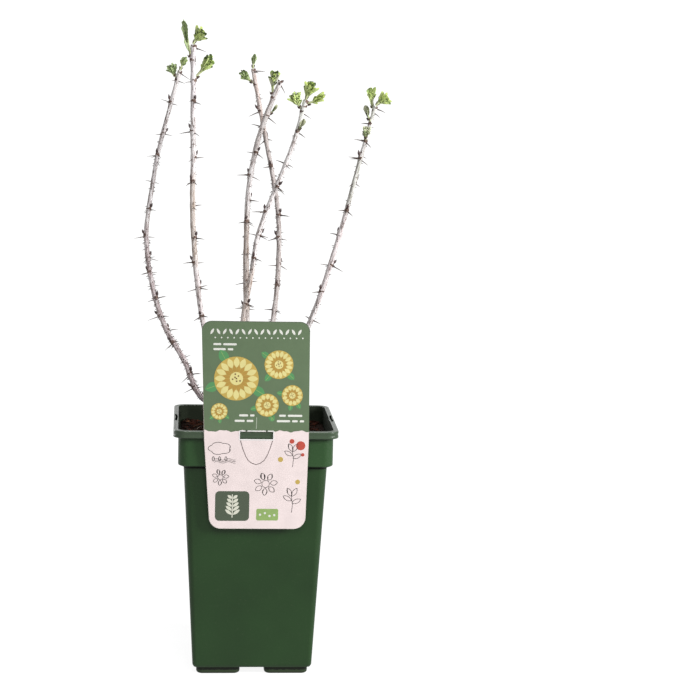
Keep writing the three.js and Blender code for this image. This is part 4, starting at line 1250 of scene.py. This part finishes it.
def add_young_leaves(leaves, tuft, closed, extra):
    """Younger leaves on stalks from the tuft's foot."""
    young = YOUNG.extra + tuft.leaves // 2 + round(tuft.shoot * YOUNG.per_length)
    for k in range(YOUNG.extra_closed if closed > CLOSED.all else young):
        spread = extra.between(*YOUNG.fan) * tuft.fan * (1 - CLOSED.gather * closed)
        up = mix(tuft.shoot * extra.between(*YOUNG.root), tuft.shoot * CLOSED.climb * k, closed)
        length = (tuft.shoot + tuft.blade - up) * extra.between(*YOUNG.reach)
        length = mix(length, min(length, tuft.blade * extra.between(*CLOSED.length)), closed)
        blade = min(length * YOUNG.longest_blade, tuft.blade * extra.between(*YOUNG.blade))
        blade = mix(blade, length * CLOSED.blade, closed)
        fold = extra.around(*YOUNG.fold) + closed * CLOSED.fold
        youth = extra.between(*YOUNG.youth) + closed * CLOSED.young_youth
        way, face = leaf_frame(tuft, tuft.turn + YOUNG.turn + k * LEAF.turn, spread)
        root = tuft.foot + tuft.axis * up
        greens = greens_of(tuft, extra)
        if has_room(cad_leaf_tips(root + way * (length - blade), way, face, blade, fold), tuft):
            add_leaf(leaves, root, way, face, length, fold, youth, greens, 1 - blade / length)


def make_shoot(tuft):
    """A tuft's shoot, with bud scales around its foot."""
    start, end = tuft.root.lerp(tuft.foot, 0.5), tuft.foot + tuft.axis * tuft.shoot
    widths = [mix(1, SHOOT.tip_radius / SHOOT.foot_radius, i / 6) for i in range(7)]
    line = bent_line(start, end, tuft.axis.cross(UP) * SHOOT.sag, 6)
    shoot = Shape().add(tube(line, SHOOT.foot_radius, widths, 10))
    for k in range(4 if tuft.up else 2):
        side = outward_from(tuft.axis, SHOOT.scale_turn + LEAF.turn * k)
        foot = tuft.foot + tuft.axis * (SHOOT.lowest_scale + SHOOT.scale_gap * k)
        way = turned(tuft.axis, side, SHOOT.scale_lean)
        length = SHOOT.longest_scale - SHOOT.scale_shrink * k
        shoot.add(bud_scale(foot, way, side, length, SHOOT.scale_radius), 1)
    return shoot


def build_leaves():
    greens = [leaf_finish(f"leaf_{name}", shade, 0.62 if "under" in name else 0.5)
              for name, shade in GREENS.items()]
    skins = [plain_finish("shoot_skin", (192, 200, 150), 0.6, 0.6, 0.2, 0.04),
             plain_finish("shoot_scales", (78, 54, 40), 0.6, 0.5, 0.3, 0.05)]
    for index, tuft in enumerate(tufts):
        name = f"{tuft.cane.place}_{tuft.name}"
        narrow = (CLOSED.fan - tuft.fan) / CLOSED.range
        closed = min(1, max(GATHERED.get(name, 0), narrow))  # a narrow tuft is an opening bud
        leaves, extra = Shape(), Dice(YOUNG.seed + index)
        add_own_leaves(leaves, tuft, closed, Dice(SHOOT.seed + index), extra)
        add_young_leaves(leaves, tuft, closed, extra)
        add_piece(f"leaves_of_{name}", leaves, greens, [f"leaves_{name}"], 70)
        add_piece(f"shoot_of_{name}", make_shoot(tuft), skins)


# ---------------- picture card

CARD = Sizes(thickness=0.6, top_width=97, bend_width=94.5, foot_width=88, top_corner=9, foot_corner=11,
             top_shift=-2, foot_shift=2, bend=225, soft_bend=5, back_lean=5, bow=1.2, bow_foot=245,
             window_half=15, hook_half=14, hook_drop=11, pale_top=236)
CARD_LOW, CARD_HIGH = node_box("picture_card")
WINDOW_TOP = POT_HEIGHT + CLEARANCE
WINDOW_FOOT = LIP_FOOT
WINDOW_EDGE = 0.9                        # width of the white edge that cutting the window leaves
NICK = Sizes(apart=9.2, up=0.7, radius=0.9)  # the marks that the window's two hinges leave
TAB = [                                  # the right half of its cut, from the window's lower edge
    (15, 0), (14.4, -1.5), (12.2, -9), (9.6, -15.7), (7.2, -19.7), (3.7, -22.4), (0, -23.6)]
FLOWERS = [(-19, 281, 20), (19, 294, 13), (31.5, 266, 9.5), (9, 257, 10.5), (-34, 251, 7.5)]  # x, z, radius
CELLS_ACROSS, CELLS_UP = range(-48, 49, 8), range(144, 333, 6)  # where every flat fill is cut
BEND_CUTS = (220, 223, 227, 230)         # more cuts for the sheet, where it bends
MERGE = 1e-4                             # points nearer to each other than this are one
PRINT_LAYER = 0.05                       # how far one printed layer lies on the one below
PEN = 0.5                                # width of the pen drawings' lines
# The cut ink is painted shadow along the tab's cut.
INKS = {
    "field_green": (95, 117, 83), "field_pink": (254, 237, 235), "white": (240, 240, 232),
    "gold": (206, 176, 84), "cream_yellow": (238, 226, 150), "ochre": (190, 150, 62), "amber": (120, 84, 44),
    "leaf_green": (84, 152, 92), "pen": (70, 60, 60), "dark_green": (70, 84, 62), "edge_green": (84, 98, 78),
    "cream": (232, 232, 214), "light_green": (152, 184, 104), "red": (200, 76, 56), "cut": (108, 90, 90),
    "slit": (196, 204, 186), "paper_white": (255, 252, 250),
}


def card_depth(x, z):
    """The Y of the card's front: upright and a little bowed above the bend, leaning back below."""
    over, soft = CARD.bend - z, CARD.soft_bend
    back = 0 if over < -soft else over if over > soft else (over + soft) ** 2 / (4 * soft)
    rise = max(0, z - CARD.bow_foot) / (CARD_HIGH.z - CARD.bow_foot)
    bow = CARD.bow * (1 - (x / (CARD.top_width / 2)) ** 2) * rise
    return CARD_LOW.y + back * tan(radians(CARD.back_lean)) - bow


def around(x, z, radius, angle):
    """The (x, z) point at a distance from another, angle radians anticlockwise from the right."""
    return x + radius * cos(angle), z + radius * sin(angle)


def corner_arc(x, z, radius, start):
    """A quarter of a circle around a centre, anticlockwise from start degrees."""
    return [around(x, z, radius, radians(start + 90 * i / 8)) for i in range(9)]


def disc(x, z, radius, sides=28):
    return [around(x, z, radius, TURN * i / sides) for i in range(sides)]


def rounded_box(x, z, width, height, corner):
    half, tall = width / 2 - corner, height / 2 - corner
    return (corner_arc(x + half, z + tall, corner, 0) + corner_arc(x - half, z + tall, corner, 90)
            + corner_arc(x - half, z - tall, corner, 180) + corner_arc(x + half, z - tall, corner, 270))


def petal(x, z, degrees, start, length, width):
    """A pointed oval that reaches from start to start + length away from a centre."""
    steps, turn = 8, radians(degrees)
    outline = []
    for side in (1, -1):
        for i in range(steps):
            part = i / steps if side == 1 else 1 - i / steps
            middle = around(x, z, start + length * part, turn)
            outline.append(around(*middle, side * width / 2 * sin(pi * part) ** 0.8, turn + pi / 2))
    return outline


def stroke(points, width):
    """A pen line of even width along (x, z) points."""
    left, right = [], []
    for before, (x, z), after in zip(points[:1] + points, points, points[1:] + points[-1:]):
        dx, dz = after[0] - before[0], after[1] - before[1]
        share = width / 2 / hypot(dx, dz)
        left.append((x - dz * share, z + dx * share))
        right.append((x + dz * share, z - dx * share))
    return left + right[::-1]


def pen_loop(outline, width=PEN):
    """A closed pen line, as two strokes that share their ends."""
    half = len(outline) // 2
    return [stroke(outline[:half + 1], width), stroke(outline[half:] + outline[:1], width)]


def card_outline(inset=0):
    """The card's outline seen from the front, as (x, z) points."""
    bend = CARD.bend_width / 2 - inset
    high, low = CARD.top_corner - inset, CARD.foot_corner - inset
    above, below = CARD.top_width / 2 - inset - high, CARD.foot_width / 2 - inset - low
    upper, lower = CARD_HIGH.z - inset - high, CARD_LOW.z + inset + low
    top, foot = CARD.top_shift, CARD.foot_shift
    return ([(bend, CARD.bend)] + corner_arc(top + above, upper, high, 0)
            + corner_arc(top - above, upper, high, 90) + [(-bend, CARD.bend)]
            + corner_arc(foot - below, lower, low, 180) + corner_arc(foot + below, lower, low, 270))


def flat_mesh(outlines, cuts_x=(), cuts_z=()):
    """Fills (x, z) outlines and cuts the fill into cells, so that it can follow the card's bend."""
    made = bmesh.new()
    for outline in outlines:
        made.faces.new([made.verts.new((x, 0, z)) for x, z in outline])
    bmesh.ops.triangulate(made, faces=made.faces[:])
    across, upward = zip(*sum(outlines, []))
    for axis, places, cuts in ((RIGHT, across, [*cuts_x, *CELLS_ACROSS]),
                               (UP, upward, [*cuts_z, *CELLS_UP])):
        for cut in cuts:
            if min(places) < cut < max(places):
                every = made.verts[:] + made.edges[:] + made.faces[:]
                bmesh.ops.bisect_plane(made, geom=every, plane_co=axis * cut, plane_no=axis, dist=MERGE)
    return made


def windowed(inset, top, levels):
    """The card's outline up to a height, cut at some levels and open at its window."""
    half = CARD.window_half
    made = flat_mesh([card_outline(inset)], (-half, half), (WINDOW_FOOT, WINDOW_TOP, *levels))
    unwanted = []
    for face in made.faces:
        x, _, z = face.calc_center_median()
        if z > top or abs(x) < half and WINDOW_FOOT < z < WINDOW_TOP:
            unwanted.append(face)
    bmesh.ops.delete(made, geom=unwanted, context="FACES")
    return made


def raise_sheet(made, name, thickness, lift, finish, replaces=()):
    """Lays a flat fill on the card's front and gives it its thickness backwards."""
    bmesh.ops.remove_doubles(made, verts=made.verts[:], dist=MERGE)
    bmesh.ops.recalc_face_normals(made, faces=made.faces[:])
    if sum(face.normal.y for face in made.faces) > 0:
        bmesh.ops.reverse_faces(made, faces=made.faces[:])
    behind = made.verts[:]
    extruded = bmesh.ops.extrude_face_region(made, geom=made.faces[:])["geom"]
    front = [part for part in extruded if isinstance(part, bmesh.types.BMVert)]
    for vertices, deep in ((behind, thickness), (front, 0)):
        for vertex in vertices:
            x, _, z = vertex.co
            vertex.co.y = card_depth(x, z) - lift + deep
    bmesh.ops.recalc_face_normals(made, faces=made.faces[:])
    mesh = bpy.data.meshes.new(name)
    made.to_mesh(mesh)
    made.free()
    mesh.transform(Matrix.Scale(MM, 4))
    dress(add_object(name, mesh), [finish], replaces, 30)


def print_mesh(name, made, layer, ink):
    """Prints a flat fill on the card in one of its inks."""
    shade = f"print_{ink}"
    finish = bpy.data.materials.get(shade) or plain_finish(shade, INKS[ink], 0.42, 1.5, 0.04, 0.004)
    raise_sheet(made, f"card_{name}", PRINT_LAYER * 0.9, PRINT_LAYER * layer, finish)


def add_print(name, outlines, layer, ink):
    print_mesh(name, flat_mesh(outlines), layer, ink)


def add_card_hook(paper):
    """The strip that is folded over the rim and hangs down inside it."""
    thick, over = CARD.thickness, WINDOW_TOP
    back, inside = CARD_LOW.y + thick, CLEARANCE - INNER_BAND_HALF
    path = [Vector((0, y, z)) for y, z in (
        (back - thick * 0.4, over - 0.3), (back - thick * 0.4, over + thick * 0.2),
        (back + 0.6, over + thick * 0.5), (inside - 0.5, over + thick * 0.5),
        (inside + thick / 2, over - 0.2), (inside + thick / 2, POT_HEIGHT - CARD.hook_drop))]
    upper, lower = [], []
    for before, here, after in zip(path[:1] + path, path, path[1:] + path[-1:]):
        half = CARD.hook_half - 1.5 * (here is path[-1])
        up = RIGHT.cross((after - before).normalized()) * thick / 2
        row = [here + RIGHT * x for x in (-half, 0, half)]
        upper.append([point + up for point in row])
        lower.append([point - up for point in row])
    add_piece("card_hook", Shape().add(sheet(upper, lower)), [paper], (), 40)


def wavy_border(x):
    """The height of the border between the card's two printed fields."""
    return 233.2 + 0.7 * sin(x * 0.36) + 0.35 * sin(x * 0.93 + 1)


def print_fields():
    """A pale field, a green one above it, and a line around the green one."""
    print_mesh("pale_field", windowed(0.35, CARD.pale_top, [CARD.pale_top]), 1, "field_pink")
    half, steps = CARD.bend_width / 2 - 0.05, 90
    field = [(x, z) for x, z in card_outline(0.05) if z > 240]
    field += [(x, wavy_border(x)) for x in (mix(-half, half, i / steps) for i in range(steps + 1))]
    add_print("green_field", [field], 2, "field_green")
    edge = [point for point in card_outline(0.3) if point[1] > CARD.bend + 5]
    add_print("edge_line", [stroke(edge, 0.6)], 3, "edge_green")


def print_flowers():
    """Round flowers with leaves, each flower built up from rings of petals."""
    leaves, veins, discs, outer, inner, hearts, seeds = ([] for _ in range(7))
    for number, (x, z, radius) in enumerate(FLOWERS):
        for turn in (120 + 25 * number, 200 + 31 * number, 330 - 14 * number):
            leaves.append(petal(x, z, turn, radius * 0.8, radius * 0.7, radius * 0.45))
            veins.append(stroke([around(x, z, r * radius, radians(turn)) for r in (1, 1.2, 1.42)], 0.4))
        discs.append(disc(x, z, radius, 40))
        count = 16 if radius > 12 else 12
        for k in range(count):
            turn = 360 / count * k + 9 * number
            outer.append(petal(x, z, turn, radius * 0.5, radius * 0.47, radius * 4.2 / count))
            inner.append(petal(x, z, turn + 180 / count, radius * 0.24, radius * 0.4, radius * 2.4 / count))
        hearts.append(disc(x, z, radius * 0.3, 20))
        seeds += [disc(*around(x, z, radius * 0.085 * sqrt(k), 2.4 * k), radius * 0.04, 8) for k in range(7)]
    add_print("flower_leaves", leaves, 3, "leaf_green")
    add_print("flower_veins", veins, 4, "light_green")
    add_print("flower_discs", discs, 5, "gold")
    add_print("flower_outer_petals", outer, 6, "cream_yellow")
    add_print("flower_inner_petals", inner, 7, "ochre")
    add_print("flower_hearts", hearts, 8, "cream_yellow")
    add_print("flower_seeds", seeds, 9, "amber")


def print_borders():
    """A leafy border along the top and plain dashes beside the flowers."""
    marks = []
    for k in range(-7, 8):
        x = k * 5.6 - 2
        marks += [petal(x, 323.5, 60 if k % 2 else 120, -3, 6, 2.2), disc(x + 2.8, 318, 0.7, 10)]
    for left, z, widths in ((-40, 312, (7, 12)), (-40, 307.5, (11, 5)), (20, 247.5, (6, 13)),
                            (18, 242.5, (12, 5, 4)), (-20, 242.5, (9, 6)), (-16, 247.5, (8, 4))):
        for width in widths:
            marks.append(rounded_box(left + width / 2, z, width, 1.9, 0.8))
            left += width + 1.8
    add_print("borders", marks, 3, "white")


def seedling(x, z, size):
    """A pen drawing of a sprouting seed."""
    lines = [stroke([(x, z), (x + 0.05 * size, z + 0.5 * size), (x - 0.03 * size, z + size)], PEN)]
    for turn, up in ((25, 0.55), (150, 0.7), (60, 0.95), (118, 0.95)):
        lines += pen_loop(petal(x, z + up * size, turn, 0.3, size * 0.55, size * 0.24))
    return lines


def cloud_with_drops(x, z, size):
    bumps = []
    for a in (TURN * i / 30 for i in range(30)):
        r = size * (0.44 + 0.08 * abs(sin(2.5 * a)))
        bumps.append((x + r * 1.35 * cos(a), z + r * 0.75 * sin(a)))
    lines = pen_loop(bumps)
    for k in range(-1, 2):
        lines += pen_loop(petal(x + k * size * 0.38, z - size * 0.5, 270, 0, size * 0.3, size * 0.14))
    return lines


def pen_flower(x, z, size):
    lines = pen_loop(disc(x, z, size * 0.2, 16))
    for k in range(7):
        lines += pen_loop(petal(x, z, 360 / 7 * k + 8, size * 0.24, size * 0.4, size * 0.26))
    return lines


def print_drawings():
    """Thin pen drawings, spots and two small panels on the pale field."""
    lines = seedling(33, 200, 15) + seedling(33, 157, 16)
    lines += cloud_with_drops(-33, 217, 15) + pen_flower(9, 184, 17) + pen_flower(-32, 190, 12)
    for k in range(3):
        wave = [(-38 + i * 1.5, 204 + 1.4 * k + 0.7 * sin(i * 0.9)) for i in range(14)]
        lines.append(stroke(wave, PEN * 0.8))
    add_print("drawings", lines, 2, "pen")

    add_print("dark_panel", [rounded_box(-21, 163, 31, 28, 4)], 2, "dark_green")
    sprig = [stroke([(-21, 152), (-20.4, 163), (-21, 174)], 0.8)]
    for k in range(5):
        sprig += [petal(-20.7, 154.5 + 3.8 * k, turn, 0.5, 8 - 0.7 * k, 2.8) for turn in (38, 142)]
    add_print("panel_sprig", sprig, 3, "cream")

    add_print("light_panel", [rounded_box(11, 155, 20, 11, 1.5)], 2, "light_green")
    dots = [disc(4.5 + 4.3 * k, 155 + 1.6 * sin(2 * k), 1.1, 14) for k in range(4)]
    add_print("panel_dots", dots, 3, "white")
    add_print("red_spots", [disc(40, 220, 4.2), disc(32, 224, 2.2, 18), disc(42, 211.5, 1.6, 16)], 2, "red")
    add_print("yellow_spots", [disc(22, 207, 2.4, 18), disc(38, 186, 2.2, 18)], 2, "gold")


def print_cuts():
    """The tab below the window as a cut line in painted shadow, the slit above it as a fine light cut line,
    and the window's white edge.
    """
    tab = [(x, WINDOW_FOOT + z) for x, z in TAB] + [(-x, WINDOW_FOOT + z) for x, z in TAB[-2::-1]]
    # painted shadow: the tab's cut drawn as a dark line
    add_print("tab_cut_shadow", [stroke(tab, 0.6)], 3, "cut")
    add_print("slit", [stroke([(-0.4, WINDOW_TOP + 2.4), (-0.2, WINDOW_TOP + 13)], 0.45)], 3, "slit")
    side = CARD.window_half + WINDOW_EDGE / 2
    high, low = WINDOW_TOP + WINDOW_EDGE / 2, WINDOW_FOOT - WINDOW_EDGE / 2
    edges = [([(-side, low), (-side, high)], 1), ([(side, low), (side, high)], 1),
             ([(-side, high), (side, high)], 1), ([(-side, low), (side, low)], 1.3)]
    for k, (ends, width) in enumerate(edges):
        add_print(f"window_edge_{k}", [stroke(ends, WINDOW_EDGE * width)], 3 + k % 2, "paper_white")
    nicks = [disc(x, WINDOW_TOP + NICK.up, NICK.radius, 12) for x in (-NICK.apart, NICK.apart)]
    add_print("nicks", nicks, 5, "dark_green")


def build_card():
    paper = plain_finish("card_paper", (222, 214, 204), 0.5, 1.2, 0.03, 0.006)
    body = windowed(0, CARD_HIGH.z, BEND_CUTS)
    raise_sheet(body, "card_sheet", CARD.thickness, 0, paper, ["picture_card"])
    add_card_hook(paper)
    print_fields()
    print_flowers()
    print_borders()
    print_drawings()
    print_cuts()


# ---------------- camera, stage and lights

CAMERA = Sizes(place=(-65.54, -1849.53, 550.55),  # millimetres
               yaw=0.08236, pitch=0.13449, roll=0.022468,  # radians; pitch looks down
               focal=1996.10, frame=696,  # pixels
               sensor=36)
FLOOR_HALF = 900
BOX_LIGHTS = {                           # place and size in metres, strength in watts
    "side": ((1.34, -0.76, 0.8), (0.4, 0.5), 45),
    "back": ((-1.2, 1.25, 0.6), (1.1, 1.1), 16),
}
BOX_TARGET = Vector((0, 0, 0.3))


def add_camera():
    data = bpy.data.cameras.new("camera")
    data.sensor_width = CAMERA.sensor
    data.lens = CAMERA.focal / CAMERA.frame * CAMERA.sensor
    camera = add_object("camera", data)
    turn = Matrix.Rotation(-CAMERA.yaw, 4, "Z") @ Matrix.Rotation(pi / 2 - CAMERA.pitch, 4, "X")
    place = Matrix.Translation(Vector(CAMERA.place) * MM)
    camera.matrix_world = place @ turn @ Matrix.Rotation(CAMERA.roll, 4, "Z")
    bpy.context.scene.camera = camera


def add_sun():
    """One broad soft light from the front, above and a little to the right."""
    data = bpy.data.lights.new("sun", "SUN")
    data.energy = LIGHT.sun
    data.angle = radians(LIGHT.sun_width)
    add_object("sun", data).rotation_euler = radians(90 - LIGHT.sun_height), 0, radians(LIGHT.sun_turn)


def add_box_lights():
    """One from the right brings out that side's edges, a weaker one fills in the back and the left."""
    for name, (place, size, watts) in BOX_LIGHTS.items():
        data = bpy.data.lights.new(name, "AREA")
        data.shape = "RECTANGLE"
        data.size, data.size_y = size
        data.energy = watts
        light = add_object(name, data)
        light.location = place
        aim = BOX_TARGET - light.location
        light.rotation_euler = aim.to_track_quat("-Z", "Y").to_euler()


def add_world():
    """Even white light from all around, seen as a plain white background."""
    world = bpy.data.worlds.new("studio")
    bpy.context.scene.world = world
    world.use_nodes = True
    nodes, links = world.node_tree.nodes, world.node_tree.links
    background = nodes["Background"]
    background.inputs["Color"].default_value = (1, 1, 1, 1)
    path = nodes.new("ShaderNodeLightPath")
    mirrored, direct = nodes.new("ShaderNodeMix"), nodes.new("ShaderNodeMix")
    mirrored.inputs["A"].default_value = LIGHT.around
    mirrored.inputs["B"].default_value = LIGHT.mirrored
    direct.inputs["B"].default_value = LIGHT.background
    links.new(path.outputs["Is Glossy Ray"], mirrored.inputs["Factor"])
    links.new(path.outputs["Is Camera Ray"], direct.inputs["Factor"])
    links.new(mirrored.outputs["Result"], direct.inputs["A"])
    links.new(direct.outputs["Result"], background.inputs["Strength"])


def add_stage():
    far = FLOOR_HALF
    corners = [(-far, -far, 0), (far, -far, 0), (far, far, 0), (-far, far, 0)]
    floor = add_solid("floor", (corners, [(0, 1, 2, 3)]))
    finish = Finish("floor_white", grey(LIGHT.floor), 0.9, 0.1)
    tone = finish.cloudy(finish.noise(400, 2), grey(LIGHT.floor), (0.3, 0.99), (0.7, 1.01))
    finish.feed(finish.shader, {"Base Color": tone, "Emission Color": (1, 1, 1, 1),
                                "Emission Strength": LIGHT.floor_glow})
    floor.data.materials.append(finish.material)
    add_world()
    add_sun()
    add_box_lights()
    scene = bpy.context.scene
    scene.view_settings.view_transform = "Standard"
    scene.view_settings.look = "None"


# ---------------- the object

add_camera()
add_stage()
build_pot()
build_soil()
build_stump()
build_canes()
build_leaves()
build_card()
